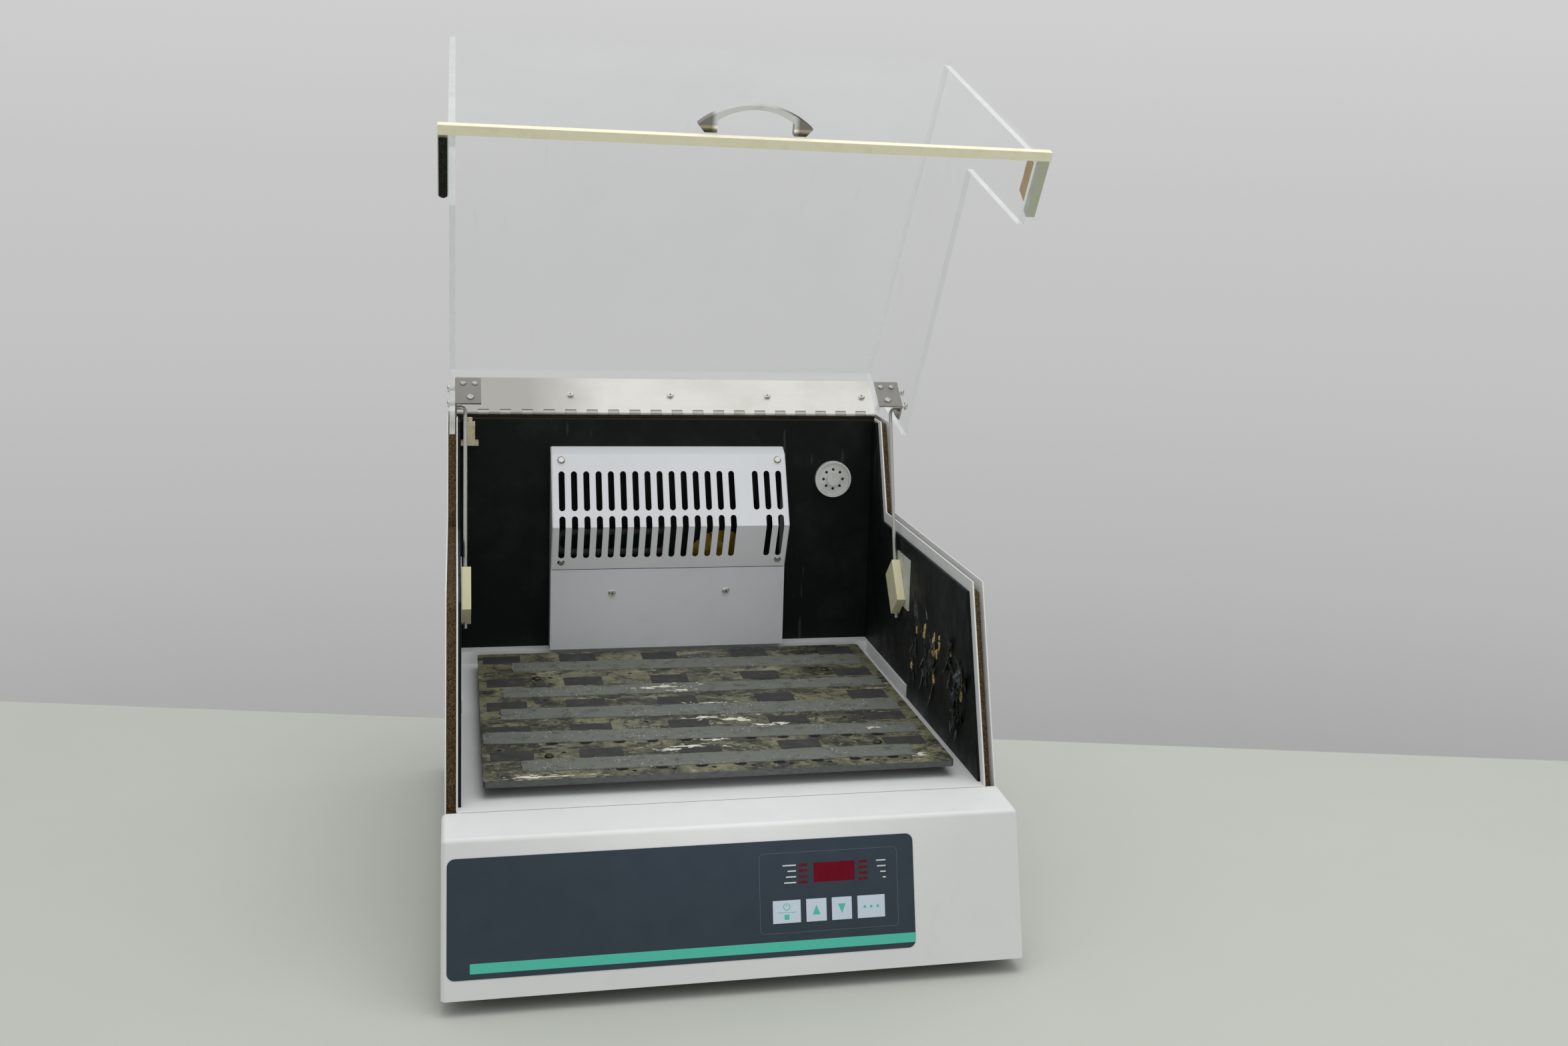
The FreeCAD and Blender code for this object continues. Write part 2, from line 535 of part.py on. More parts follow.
def make_walls():
    for word, side in SIDES:
        low, high = across(side, "skin_half - skin_gauge", "skin_half")
        tuck = "ledge_back - skin_tuck"
        ledge = "deck_level - skin_tuck_fall"
        node("outer_side_" + word, prism("skin_" + word, "YZ", [
            (tuck, "base_level"), (tuck, ledge), (wall_at(ledge), ledge), ("wall_low_front", "wall_low"),
            ("wall_step", "wall_low"), ("wall_step_top", "wall_high"), ("case_back", "wall_high"),
            ("case_back", "base_level")], low, high))
    edge = "skin_half - skin_gauge"
    back = box("back_sheet", (f"-({edge})", "case_back - skin_gauge", "base_level"),
               (edge, "case_back", "roof_level"))
    holes = [box("inlet_hole", ("inlet_x - inlet_wide / 2", "case_back - inlet_deep",
                                "inlet_level - inlet_tall / 2"),
                 ("inlet_x + inlet_wide / 2", "case_back + inlet_deep", "inlet_level + inlet_tall / 2")),
             box("rocker_hole", (f"switch_x - ({FRAME_WIDE})", "case_back - inlet_deep",
                                 f"inlet_level - ({FRAME_TALL})"),
                 (f"switch_x + {FRAME_WIDE}", "case_back + inlet_deep", f"inlet_level + {FRAME_TALL}"))]
    for row in range(SIZES["vent_slot_count"]):
        level = f"vent_slot_level + {row} * vent_slot_pitch"
        holes.append(box("back_slot", ("motor_x - vent_slot_wide", "case_back - inlet_deep", level),
                         ("motor_x + vent_slot_wide", "case_back + inlet_deep", f"{level} + vent_slot_tall")))
    for x, z in BACK_SCREWS:
        holes.append(rod("back_screw_hole", (x, "case_back - 2 * skin_gauge", z), "screw_radius + screw_gap",
                         "4 * skin_gauge", "Y"))
    node("outer_back", cut("back_skin", back, holes))
    rail = box("rail_bar", ("-shell_half", "hinge_back + roof_gap", "roof_level - roof_tall"),
               ("shell_half", "case_back - skin_gauge", "roof_level"))
    bore = box("rail_bore", ("-2 * shell_half", "hinge_back + roof_gap + shell_gauge",
                             "roof_level - roof_tall + shell_gauge"),
               ("2 * shell_half", "case_back - skin_gauge - shell_gauge", "roof_level - shell_gauge"))
    node("roof_rail", cut("rail", rail, [bore]))


FRAME_WIDE = "(switch_half_wide + switch_gap + inlet_wall)"
FRAME_TALL = "(switch_half_tall + switch_gap + inlet_wall)"
BACK_SCREWS = [(x, z) for x in ("-skin_half + 2 * foot_radius", "skin_half - 2 * foot_radius")
               for z in ("base_level + 2 * pan_lip", "deck_level + back_screw_rise",
                         "roof_level - 2 * roof_tall")]


def make_chamber():
    sides = []
    for word, side in SIDES:
        low, high = across(side, "shell_half", "shell_half + shell_gauge")
        sides.append(prism("shell_side_" + word, "YZ", [
            ("wall_front", "pan_top"), ("wall_front", "deck_level"), ("wall_low_front", "wall_low"),
            ("wall_step", "wall_low"), ("wall_step_top", "wall_high"),
            ("case_back - skin_gauge", "wall_high"), ("case_back - skin_gauge", "base_level + pan_lip"),
            ("case_back - skin_gauge - pan_gauge", "base_level + pan_lip"),
            ("case_back - skin_gauge - pan_gauge", "pan_top")], low, high))
    back = box("shell_back", ("-shell_half", "chamber_back", "deck_level - deck_gauge"),
               ("shell_half", "chamber_back + shell_gauge", "roof_level - shell_headroom"))
    holes = [rod("shell_fan_hole", ("fan_x", "chamber_back - shell_gauge", "fan_level"), "fan_hole",
                 "4 * shell_gauge", "Y"),
             rod("shell_vent_hole", ("vent_x", "chamber_back - shell_gauge", "vent_level"),
                 "vent_body + liner_gap",
                 "4 * shell_gauge", "Y")]
    back = cut("shell_back_sheet", back, holes)
    node("chamber_shell", fuse("shell", sides + [back]))

    deck = box("deck_plate", ("-shell_half", "ledge_back", "deck_level - deck_gauge"),
               ("shell_half", "chamber_back", "deck_level"))
    rims = [box("deck_rim_back", ("-shell_half", "chamber_back - rim_rear", "deck_level"),
                ("shell_half", "chamber_back", "rim_level"))]
    for word, side in SIDES:
        low, high = across(side, "shell_half - rim_side", "shell_half")
        rims.append(box("deck_rim_" + word, (low, "rim_end", "deck_level"),
                        (high, "chamber_back - rim_rear", "rim_level")))
    openings = [rod("deck_opening", (x, y, "deck_level - 2 * deck_gauge"), "deck_hole", "4 * deck_gauge")
                for x, y in SHAFTS]
    node("chamber_deck", cut("deck", fuse("deck_and_rims", [deck] + rims), openings))

    panels = []
    margin = "liner_margin * wall_sec"
    floor = "deck_level + liner_gap"
    top = "wall_high - liner_top_gap"
    low_top = "wall_low - liner_margin"
    rise = "liner_margin * step_sec"
    for word, side in SIDES:
        low, high = across(side, "liner_face", "shell_half")
        panels.append(prism("liner_" + word, "YZ", [
            (f"{wall_at(floor)} + {margin}", floor), (f"{wall_at(low_top)} + {margin}", low_top),
            (f"{step_at(low_top)} + {rise}", low_top), (f"{step_at(top)} + {rise}", top),
            ("chamber_back", top), ("chamber_back", "rim_level"),
            ("rim_end - liner_gap", "rim_level"), ("rim_end - liner_gap", floor)], low, high))
    rear = box("liner_rear_sheet", ("-liner_face", "chamber_back - liner_gauge", "rim_level"),
               ("liner_face", "chamber_back", "roof_level - shell_headroom - shell_gauge"))
    holes = [rod("liner_fan_hole", ("fan_x", "chamber_back - 2 * liner_gauge", "fan_level"), "fan_hole",
                 "4 * liner_gauge", "Y"),
             rod("liner_vent_hole", ("vent_x", "chamber_back - 2 * liner_gauge", "vent_level"),
                 "vent_body + liner_gap",
                 "4 * liner_gauge", "Y")]
    panels.append(cut("liner_rear", rear, holes))
    node("chamber_liner", group("liner", panels))


def make_foam():
    r, d = "foam_recess", "foam_depth"
    low_top = f"wall_low - {r}"
    low_foot = f"wall_low - {r} - {d}"
    start = "deck_level - foam_fall"
    high = "wall_high - liner_top_gap"
    high_foot = f"{high} - {d}"
    end = "case_back - skin_gauge"
    strips = []
    for word, side in SIDES:
        x0, x1 = across(side, "shell_half + shell_gauge", "skin_half - skin_gauge")
        strips.append(prism("foam_front_" + word, "YZ", [
            (f"{wall_at(start)} + {r} * wall_sec", start),
            (f"{wall_at(low_foot)} + {r} * wall_sec", low_foot),
            (f"{wall_at(low_foot)} + ({r} + {d}) * wall_sec", low_foot),
            (f"{wall_at(start)} + ({r} + {d}) * wall_sec", start)], x0, x1))
        strips.append(prism("foam_low_" + word, "YZ", [
            (f"{wall_at(low_foot)} + {r} * wall_sec", low_foot),
            (f"{wall_at(low_top)} + {r} * wall_sec", low_top),
            (f"{step_at(low_top)} + {r} * step_sec", low_top),
            (f"{step_at(low_foot)} + {r} * step_sec", low_foot)],
            x0, x1))
        strips.append(prism("foam_step_" + word, "YZ", [
            (f"{step_at(low_foot)} + {r} * step_sec", low_foot),
            (f"{step_at(high_foot)} + {r} * step_sec", high_foot),
            (f"{step_at(high_foot)} + ({r} + {d}) * step_sec", high_foot),
            (f"{step_at(low_foot)} + ({r} + {d}) * step_sec", low_foot)], x0, x1))
        strips.append(prism("foam_high_" + word, "YZ", [
            (f"{step_at(high_foot)} + {r} * step_sec", high_foot),
            (f"{step_at(high)} + {r} * step_sec", high),
            (end, high), (end, high_foot)], x0, x1))
    node("channel_foam", group("foam", strips))


def make_hinge():
    reach = "2 * knuckle_radius"
    barrels = []
    for name, first in (("fixed", 0), ("lid", 1)):
        tube = rod("hinge_tube_" + name, ("-hinge_half", "0", "0"), "knuckle_radius", "2 * hinge_half", "X")
        low = "-knuckle_radius"
        if first:
            leaf = box("leaf_plate_" + name, ("-hinge_half", low, "0"),
                       ("hinge_half", f"{low} + leaf_gauge", "leaf_tall"))
        else:
            leaf = box("leaf_plate_" + name, ("-hinge_half", "0", low),
                       ("hinge_half", "leaf_depth", f"{low} + leaf_gauge"))
        tools = [rod("hinge_bore_" + name, ("-2 * hinge_half", "0", "0"), "pin_radius + pin_fit",
                     "4 * hinge_half", "X")]
        for place_number in range(1 - first, SIZES["knuckle_count"], 2):
            start = f"-hinge_half + {place_number} * knuckle_pitch"
            ends = (f"{start} - knuckle_gap / 2", f"{start} + knuckle_pitch + knuckle_gap / 2")
            if first:
                tools.append(box("comb", (ends[0], f"-({reach})", f"-({reach})"),
                                 (ends[1], reach, "leaf_start")))
            else:
                tools.append(box("comb", (ends[0], f"-({reach})", f"-({reach})"),
                                 (ends[1], "leaf_start", reach)))
        if first:
            tools += lid_screw_holes()
        barrels.append(cut("hinge_half_" + name, fuse("hinge_whole_" + name, [tube, leaf]), tools))
    node("hinge_leaf_fixed", place(barrels[0], ("0", "hinge_back", "hinge_level")))
    on_lid("hinge_leaf_lid", [barrels[1]])
    node("hinge_pin", rod("pin", ("-hinge_half", "hinge_back", "hinge_level"), "pin_radius", "2 * hinge_half",
                          "X"))


LID_SCREWS = [f"lid_screw_left + {i} * lid_screw_pitch" for i in range(SIZES["lid_screw_count"])]


def lid_screw_holes():
    return [rod("lid_screw_hole", (x, "-2 * knuckle_radius", "lid_screw_level"), "screw_radius + screw_gap",
                "4 * knuckle_radius + lid_gauge", "Y") for x in LID_SCREWS]


def panel(down, out):
    """A point beside the lid's front panel: down from its top corner and out from its outer face."""
    lean = "lid_lean * 1 deg"
    return (f"-(lid_top_reach + ({down}) * sin({lean}) + ({out}) * cos({lean}))",
            f"lid_top_level - ({down}) * cos({lean}) + ({out}) * sin({lean})")


def bracket_hole(side, level):
    low, high = across(side, "lid_inner - 2 * bracket_gauge", "lid_half + bracket_gauge")
    return rod("bracket_hole", (low, "-bracket_screw_reach", f"-({level})"), "screw_radius + screw_gap",
               f"({high}) - ({low})", "X")


def make_lid():
    inner_end = panel("panel_long", "-lid_gauge")
    outer = prism("lid_profile", "YZ", [
        ("flange_back", "flange_start"), ("flange_back", "flange_tall"), ("-lid_top_reach", "lid_top_level"),
        ("-lid_reach", "-lid_drop"), inner_end, ("-inner_reach", "inner_level"),
        ("-leaf_gauge", "inner_rise + top_fall * (flange_back - leaf_gauge)"),
        ("-leaf_gauge", "flange_start")],
        "-lid_half", "lid_half")
    bends = [(size("flange_back"), size("flange_tall")), (size("-lid_top_reach"), size("lid_top_level"))]
    soft = rounded("lid_soft", outer, "lid_round", lambda m, along: abs(along.x) > 0.5 and any(
        math.hypot(m.y - y, m.z - z) < size("seat_gap") for y, z in bends))
    on_lid("lid_sheet", [cut("lid_bent", soft, lid_screw_holes())])

    plates = []
    notch_top = "panel_long - strip_grip - side_notch"
    notch = "-lid_gauge - strip_wall - side_notch"
    foot = "-side_foot_level"
    lean = "lid_lean * 1 deg"
    notch_y, _ = panel("panel_long", notch)
    notch_foot = f"{notch_y} + ({foot} - ({panel('panel_long', notch)[1]})) * tan({lean})"
    for word, side in SIDES:
        low, high = across(side, "lid_inner", "lid_half")
        plate = prism("lid_side_" + word, "YZ", [
            ("-leaf_gauge", "flange_start"),
            ("-leaf_gauge", "inner_rise + top_fall * (flange_back - leaf_gauge)"),
            ("-inner_reach", "inner_level"), panel(notch_top, "-lid_gauge"), panel(notch_top, notch),
            (notch_foot, foot), ("-side_foot_reach", foot), ("-side_front_reach", "-side_edge_level"),
            ("-side_back_reach", "-side_edge_level"), ("-side_heel_reach", "-side_heel_level")], low, high)
        plates.append(cut("lid_side_plate_" + word, plate,
                          [bracket_hole(side, level) for level in ("bracket_screw_high",
                                                                   "bracket_screw_low")]))
    on_lid("lid_sides", plates)

    wall = "strip_wall"
    on_lid("lid_edge_strip", [prism("strip", "YZ", [
        panel("panel_long - strip_grip", wall), panel(f"panel_long + {wall}", wall),
        panel(f"panel_long + {wall}", f"-lid_gauge - {wall}"),
        panel("panel_long - strip_grip", f"-lid_gauge - {wall}"),
        panel("panel_long - strip_grip", "-lid_gauge"), panel("panel_long", "-lid_gauge"),
        panel("panel_long", "0"), panel("panel_long - strip_grip", "0")], "-strip_half", "strip_half")])

    bars = []
    inside = panel("panel_long", f"-lid_gauge - {wall}")
    for word, side in SIDES:
        low, high = across(side, "lid_half", "lid_half + bar_wide")
        ends = [f"{inside[0]} + (({level}) - ({inside[1]})) * tan({lean})"
                for level in (foot, f"{foot} + bar_tall")]
        bars.append(prism("bar_" + word, "YZ", [
            ("-bar_start", foot), ("-bar_start", f"{foot} + bar_tall"), (ends[1], f"{foot} + bar_tall"),
            (ends[0], foot)], low, high))
    on_lid("lid_bars", bars)
    make_handle()


def make_handle():
    """A flat chrome bow on two posts, drawn standing up from the panel, then laid on it."""
    half, rise, bar = size("handle_half"), size("handle_rise"), size("handle_bar")
    end, toe, heel, inner = (size(word) for word in ("handle_end", "handle_toe", "handle_heel",
                                                     "handle_inner_end"))
    deep = size("handle_deep")

    def at(x, z):
        return FreeCAD.Vector(x, -deep / 2, z)

    outer = Part.Arc(at(-half, end), at(0, rise), at(half, end)).toShape()
    under = Part.Arc(at(heel, inner), at(0, rise - bar), at(-heel, inner)).toShape()
    right = Part.makePolygon([at(half, end), at(toe, 0), at(heel, 0), at(heel, inner)])
    left = Part.makePolygon([at(-heel, inner), at(-heel, 0), at(-toe, 0), at(-half, end)])
    loop = Part.Wire([outer] + right.Edges + [under] + left.Edges)
    bow = solid("bow", Part.Face(loop).extrude(FreeCAD.Vector(0, deep, 0)))
    base = panel("panel_long - handle_up", "0")
    laid = place(group("bow_on_panel", [bow]), ("0",) + base, "90 - lid_lean")
    on_lid("lid_handle", [laid])


def make_lid_fittings():
    legs = []
    screws = []
    for word, side in SIDES:
        low, high = across(side, "lid_inner - bracket_gauge", "lid_inner")
        leg = prism("bracket_leg_" + word, "YZ", [
            ("-bracket_near", "-bracket_high"), ("-bracket_near", "-bracket_low"),
            ("-bracket_far - bracket_cut", "-bracket_low"),
            ("-bracket_far", "-bracket_low + bracket_cut_tall"),
            ("-bracket_far", "-bracket_high")], low, high)
        near, far = across(side, "lid_inner - bracket_wide", "lid_inner")
        shelf = box("bracket_shelf_" + word, (near, "-bracket_near", "-bracket_low"),
                    (far, "-bracket_near + bracket_gauge", "-bracket_high"))
        legs.append(cut("bracket_" + word, fuse("bracket_blank_" + word, [leg, shelf]),
                        [bracket_hole(side, level) for level in ("bracket_screw_high", "bracket_screw_low")]))
        for level in ("bracket_screw_high", "bracket_screw_low"):
            base = ("lid_half" if side > 0 else "-lid_half", "-bracket_screw_reach", f"-{level}")
            screws.append(turned("bracket_screw", SCREW_LID, base, "90" if side > 0 else "-90", (0, 1, 0)))
    on_lid("lid_brackets", legs)
    for x in LID_SCREWS:
        screws.append(turned("leaf_screw", SCREW_LEAF, (x, "-knuckle_radius", "lid_screw_level"), "90"))
        screws.append(turned("leaf_nut", NUT, (x, "flange_back", "lid_screw_level"), "-90"))
    on_lid("lid_screws", screws)


HEAD = [("screw_radius", "0"), ("screw_head", "0"), ("screw_head", "screw_head_tall / 2"),
        ("screw_head - screw_head_tall / 2", "screw_head_tall"), ("0", "screw_head_tall")]
SCREW_LID = [("0", "-lid_gauge - bracket_gauge"), ("screw_radius", "-lid_gauge - bracket_gauge")] + HEAD
SCREW_LEAF = [("0", "-lid_gauge - 2 * knuckle_radius"),
              ("screw_radius", "-lid_gauge - 2 * knuckle_radius")] + HEAD
NUT = [("screw_radius", "0"), ("screw_head", "0"), ("screw_head", "screw_head_tall"),
       ("screw_radius", "screw_head_tall")]


def make_stays():
    """Guide blocks and rods, drawn upright about the block's pivot and turned together."""
    plates = []
    for word, side in SIDES:
        low, high = across(side, "plate_face", "liner_face")
        back = "pivot_back + guide_plate_shift"
        level = "pivot_level + guide_plate_lift"
        plates.append(box("guide_plate_" + word, (low, f"{back} - guide_plate_deep / 2",
                                                  f"{level} - guide_plate_tall / 2"),
                          (high, f"{back} + guide_plate_deep / 2", f"{level} + guide_plate_tall / 2")))
        low, high = across(side, "plate_face - pivot_long", "plate_face")
        plates.append(rod("guide_pivot_" + word, (low, "pivot_back", "pivot_level"), "pivot_radius",
                          "pivot_long", "X"))
        pivot = ("0", "pivot_back", "pivot_level")
        low, high = across(side, "guide_face - guide_wide", "guide_face")
        tilt = "guide_tilt * 1 deg"
        corners = []
        for a, b in (("-guide_deep", "-guide_tall"), ("-guide_deep", "guide_tall"),
                     ("guide_deep", "guide_tall"),
                     ("guide_deep", "-guide_tall")):
            corners.append((f"guide_shift + {a} / 2 * cos({tilt}) + ({b}) / 2 * sin({tilt})",
                            f"({b}) / 2 * cos({tilt}) - ({a}) / 2 * sin({tilt})"))
        block = prism("guide_body_" + word, "YZ", corners, low, high)
        bore = rod("guide_bore_" + word, ("rod_x" if side > 0 else "-rod_x", "rod_offset", "-guide_tall"),
                   "rod_radius + rod_fit", "2 * guide_tall")
        socket_low, _ = across(side, "plate_face - pivot_long - guide_gap", "plate_face")
        socket = rod("guide_socket_" + word, (socket_low, "0", "0"), "pivot_radius + rod_fit",
                     "pivot_long + guide_gap", "X")
        body = place(cut("guide_" + word, block, [bore, socket]), pivot, "-stay_open_turn")
        node("guide_block_" + word, body)
        bent = place(group("stay_" + word, [bent_rod(side)]), pivot, "-stay_open_turn")
        node("stay_rod_" + word, bent)
    node("guide_plates", group("guide_backs", plates))


def bent_rod(side):
    """One round bar: up through the guide block, then bent outwards to the bracket."""
    x, y, low = side * size("rod_x"), size("rod_offset"), -size("rod_tail")
    top, bend = size("stay_open_slide"), size("rod_bend")
    end = side * size("lid_inner - bracket_gauge - open_pivot_gap")
    start = FreeCAD.Vector(x, y, low)
    corner = FreeCAD.Vector(x, y, top - bend)
    turned_out = FreeCAD.Vector(x + side * bend, y, top)
    share = bend * (1 - math.sqrt(0.5))
    middle = FreeCAD.Vector(x + side * share, y, top - share)
    path = Part.Wire([Part.makeLine(start, corner), Part.Arc(corner, middle, turned_out).toShape(),
                      Part.makeLine(turned_out, FreeCAD.Vector(end, y, top))])
    ring = Part.Wire([Part.makeCircle(size("rod_radius"), start, FreeCAD.Vector(0, 0, 1))])
    return solid("stay_bar", path.makePipeShell([ring], True, True))


# Places in the rows of slots that the sheet is left whole at.
UPPER_GAPS = (15,)
LOWER_GAPS = (15, 16)


def make_cover():
    left, right = "cover_left", "cover_right"
    half = "cover_gauge / 2"
    profile = [("hood_back", "hood_top_level"), ("hood_fold", "hood_fold_level"),
               ("hood_brow", "hood_brow_level"),
               (f"cover_face + {half}", "hood_foot")]
    hood = folded("hood_sheet", profile, "cover_gauge", "cover_left + cover_gauge",
                  "cover_right - cover_gauge")
    tools = []
    rows = (("slot_upper_low", "slot_upper_high", UPPER_GAPS),
            ("slot_lower_low", "slot_lower_high", LOWER_GAPS))
    for low, high, missing in rows:
        for number in range(SIZES["slot_count"]):
            if number not in missing:
                tools += slot(f"slot_first + {number} * slot_pitch", low, high)
    for base, turn in hood_screw_places():
        tools.append(turned("hood_screw_hole", [("0", "-2 * cover_gauge"),
                                                ("screw_radius + screw_gap", "-2 * cover_gauge"),
                                                ("screw_radius + screw_gap", "cover_gauge"),
                                                ("0", "cover_gauge")], base, turn))
    node("cover_hood", cut("hood", hood, tools))

    back = "chamber_back - liner_gauge"
    outline_points = [(back, "cover_foot"), ("cover_face", "cover_foot"), ("cover_face", "hood_foot"),
                      ("hood_brow", "hood_brow_level"), ("hood_fold", "hood_fold_level"),
                      (back, "hood_top_level")]
    pieces = [prism("cheek_left", "YZ", outline_points, left, f"{left} + cover_gauge"),
              prism("cheek_right", "YZ", outline_points, f"{right} - cover_gauge", right),
              box("cover_panel", (f"{left} + cover_gauge", "cover_face", "cover_foot"),
                  (f"{right} - cover_gauge", "cover_face + cover_gauge", "hood_foot - cover_gauge"))]
    holes = [rod("cover_screw_hole", (x, "cover_face - cover_gauge", "cover_screw_level"),
                 "screw_radius + screw_gap",
                 "4 * cover_gauge", "Y") for x in ("cover_screw_left", "cover_screw_right")]
    node("cover_box", cut("cover", fuse("cover_blank", pieces), holes))

    screws = [screw("cover_screw", (x, "cover_face", "cover_screw_level"), "90")
              for x in ("cover_screw_left", "cover_screw_right")]
    screws += [screw("hood_screw", base, turn) for base, turn in hood_screw_places()]
    screws += [screw("back_screw", (x, "case_back", z), "-90") for x, z in BACK_SCREWS]
    node("case_screws", group("case_screw_set", screws))


def slot(x, low, high):
    """A tall slot with round ends, cut straight back through the hood."""
    reach = ("hood_brow - slot_pitch", "hood_fold + slot_pitch / 2")
    body = box("slot_body", (f"{x} - slot_wide / 2", reach[0], f"{low} + slot_wide / 2"),
               (f"{x} + slot_wide / 2", reach[1], f"{high} - slot_wide / 2"))
    ends = [rod("slot_end", (x, reach[0], z), "slot_wide / 2", f"{reach[1]} - ({reach[0]})", "Y")
            for z in (f"{low} + slot_wide / 2", f"{high} - slot_wide / 2")]
    return [body] + ends


def hood_screw_places():
    """Two screws above the upper slots and two below the lower ones, square to their faces."""
    places = []
    half = "cover_gauge / 2"
    for x in ("slot_first", "slot_first + (slot_count - 1) * slot_pitch"):
        level = "slot_upper_high + screw_head + slot_wide"
        run = "(hood_fold - hood_brow) / (hood_fold_level - hood_brow_level)"
        turn = "hood_up_turn"
        y = f"hood_fold - (hood_fold_level - ({level})) * {run}"
        places.append(((x, f"{y} - {half} * sin({turn} * 1 deg)", f"{level} + {half} * cos({turn} * 1 deg)"),
                       turn))
        level = "slot_lower_low - screw_head - screw_gap"
        run = f"(cover_face + {half} - hood_brow) / (hood_brow_level - hood_foot)"
        turn = "hood_low_turn"
        y = f"cover_face + {half} - (({level}) - hood_foot) * {run}"
        places.append(((x, f"{y} - {half} * sin({turn} * 1 deg)", f"{level} + {half} * cos({turn} * 1 deg)"),
                       turn))
    return places


def make_air():
    back = "fan_face + fan_deep"
    disc = rod("fan_disc", ("fan_x", f"{back} - fan_plate", "fan_level"), "fan_radius", "fan_plate", "Y")
    hub = rod("fan_boss", ("fan_x", "fan_face", "fan_level"), "fan_hub", "fan_deep", "Y")
    shaft = rod("fan_spindle", ("fan_x", "fan_face", "fan_level"), "fan_shaft", "fan_shaft_long", "Y")
    blades = []
    for number in range(SIZES["fan_blade_count"]):
        blade = box("fan_vane", ("-fan_blade / 2", "0", "fan_radius - fan_blade_long"),
                    ("fan_blade / 2", "fan_deep", "fan_radius"))
        ring = group("fan_vane_set", [blade])
        blades.append(place(ring, ("fan_x", "fan_face", "fan_level"), f"{number} * 360 / fan_blade_count",
                            (0, 1, 0)))
    node("fan_wheel", fuse("fan", [disc, hub, shaft] + blades))
    face = "chamber_back + shell_gauge"
    motor = rod("fan_motor_body", ("fan_x", face, "fan_level"), "fan_motor_radius", "fan_motor_long", "Y")
    bore = rod("fan_motor_bore", ("fan_x", f"{face} - fan_plate", "fan_level"), "fan_shaft + fan_shaft_fit",
               f"fan_face + fan_shaft_long - ({face}) + fan_plate + seat_gap", "Y")
    node("fan_motor", cut("fan_drive", motor, [bore]))

    parts = []
    wall = "chamber_back - liner_gauge"
    for level in ("heater_level", "heater_level + heater_step"):
        parts.append(rod("heater_run", ("heater_left", "heater_face", level), "heater_radius",
                         "heater_right - heater_left", "X"))
        parts.append(rod("heater_leg", ("heater_right", "heater_face", level), "heater_radius",
                         f"{wall} - heater_face", "Y"))
    bend = doc.addObject("Part::Torus", "heater_bend")
    bind(bend, Radius1="heater_step / 2", Radius2="heater_radius")
    bend.Angle3 = 180
    bend.Placement.Rotation = FreeCAD.Rotation(FreeCAD.Vector(0, 0, -1), FreeCAD.Vector(-1, 0, 0),
                                               FreeCAD.Vector(0, 1, 0))
    parts.append(place(bend, ("heater_left", "heater_face", "heater_level + heater_step / 2")))
    ends = [doc.addObject("Part::Sphere", "heater_corner") for _ in range(2)]
    for end, level in zip(ends, ("heater_level", "heater_level + heater_step")):
        bind(end, Radius="heater_radius")
        parts.append(place(end, ("heater_right", "heater_face", level)))
    node("heater_coil", fuse("heater", parts))

    plug = turned("plug_body", [
        ("0", "-liner_gauge - 2 * shell_gauge"), ("vent_body", "-liner_gauge - 2 * shell_gauge"),
        ("vent_body", "0"),
        ("vent_radius", "0"), ("vent_radius", "vent_flange + vent_rim"),
        ("vent_radius - vent_rim", "vent_flange + vent_rim"),
        ("vent_radius - vent_rim", "vent_flange"), ("vent_boss", "vent_flange"),
        ("vent_boss", "vent_flange + vent_proud"), ("0", "vent_flange + vent_proud")],
        ("vent_x", wall, "vent_level"), "90")
    holes = []
    for number in range(SIZES["vent_hole_count"]):
        angle = f"{number} * 360 / vent_hole_count * 1 deg"
        holes.append(rod("plug_hole", (f"vent_x + vent_hole_ring * cos({angle})", f"{wall} - 2 * vent_flange",
                                       f"vent_level + vent_hole_ring * sin({angle})"), "vent_hole",
                         "vent_flange * 4 + liner_gauge", "Y"))
    node("vent_plug", cut("plug", plug, holes))


def make_lid_switch():
    wall = "chamber_back - liner_gauge"
    middle = ("lid_switch_x", f"{wall} - lid_switch_deep / 2")
    low = "lid_switch_level"
    high = "lid_switch_level + lid_switch_tall"
    body = box("switch_flange", ("lid_switch_x - lid_switch_wide / 2", f"{wall} - lid_switch_deep", low),
               ("lid_switch_x + lid_switch_wide / 2", wall, f"{low} + 2 * plunger_radius"))
    neck = box("switch_neck", ("lid_switch_x - lid_switch_neck / 2", f"{wall} - lid_switch_deep", low),
               ("lid_switch_x + lid_switch_neck / 2", wall, high))
    bore = rod("switch_bore", middle + (f"{high} - plunger_sunk - plunger_travel - seat_gap",),
               "plunger_radius + running_fit", "2 * plunger_sunk + 2 * plunger_travel")
    node("lid_switch", cut("switch", fuse("switch_body", [body, neck]), [bore]))
    node("switch_plunger", rod("plunger", middle + (f"{high} - plunger_sunk",), "plunger_radius",
                               "plunger_sunk + plunger_proud"))


SHAFTS = (("0", "orbit_back"), ("-idler_side", "idler_y"), ("idler_side", "idler_y"))
# Each tape's left and right ends, then its front and back edges at the left end and at the right end,
# as shares of half the plate's side from its middle.
TAPE_SHARES = (("tape_a", -0.831, 0.941, 0.654, 0.807, 0.601, 0.785),
               ("tape_b", -0.888, 0.962, 0.190, 0.347, 0.190, 0.347),
               ("tape_c", -0.910, 0.949, -0.156, 0.006, -0.221, -0.042),
               ("tape_d", -0.993, 0.949, -0.510, -0.344, -0.584, -0.431),
               ("tape_e", -0.836, 0.853, -0.904, -0.755, -0.904, -0.755))
PLATE_SCREWS = (("-idler_side", "idler_y + orbit_radius"), ("idler_side", "idler_y + orbit_radius"),
                ("-idler_side", "plate_screw_front"), ("idler_side", "plate_screw_front"))


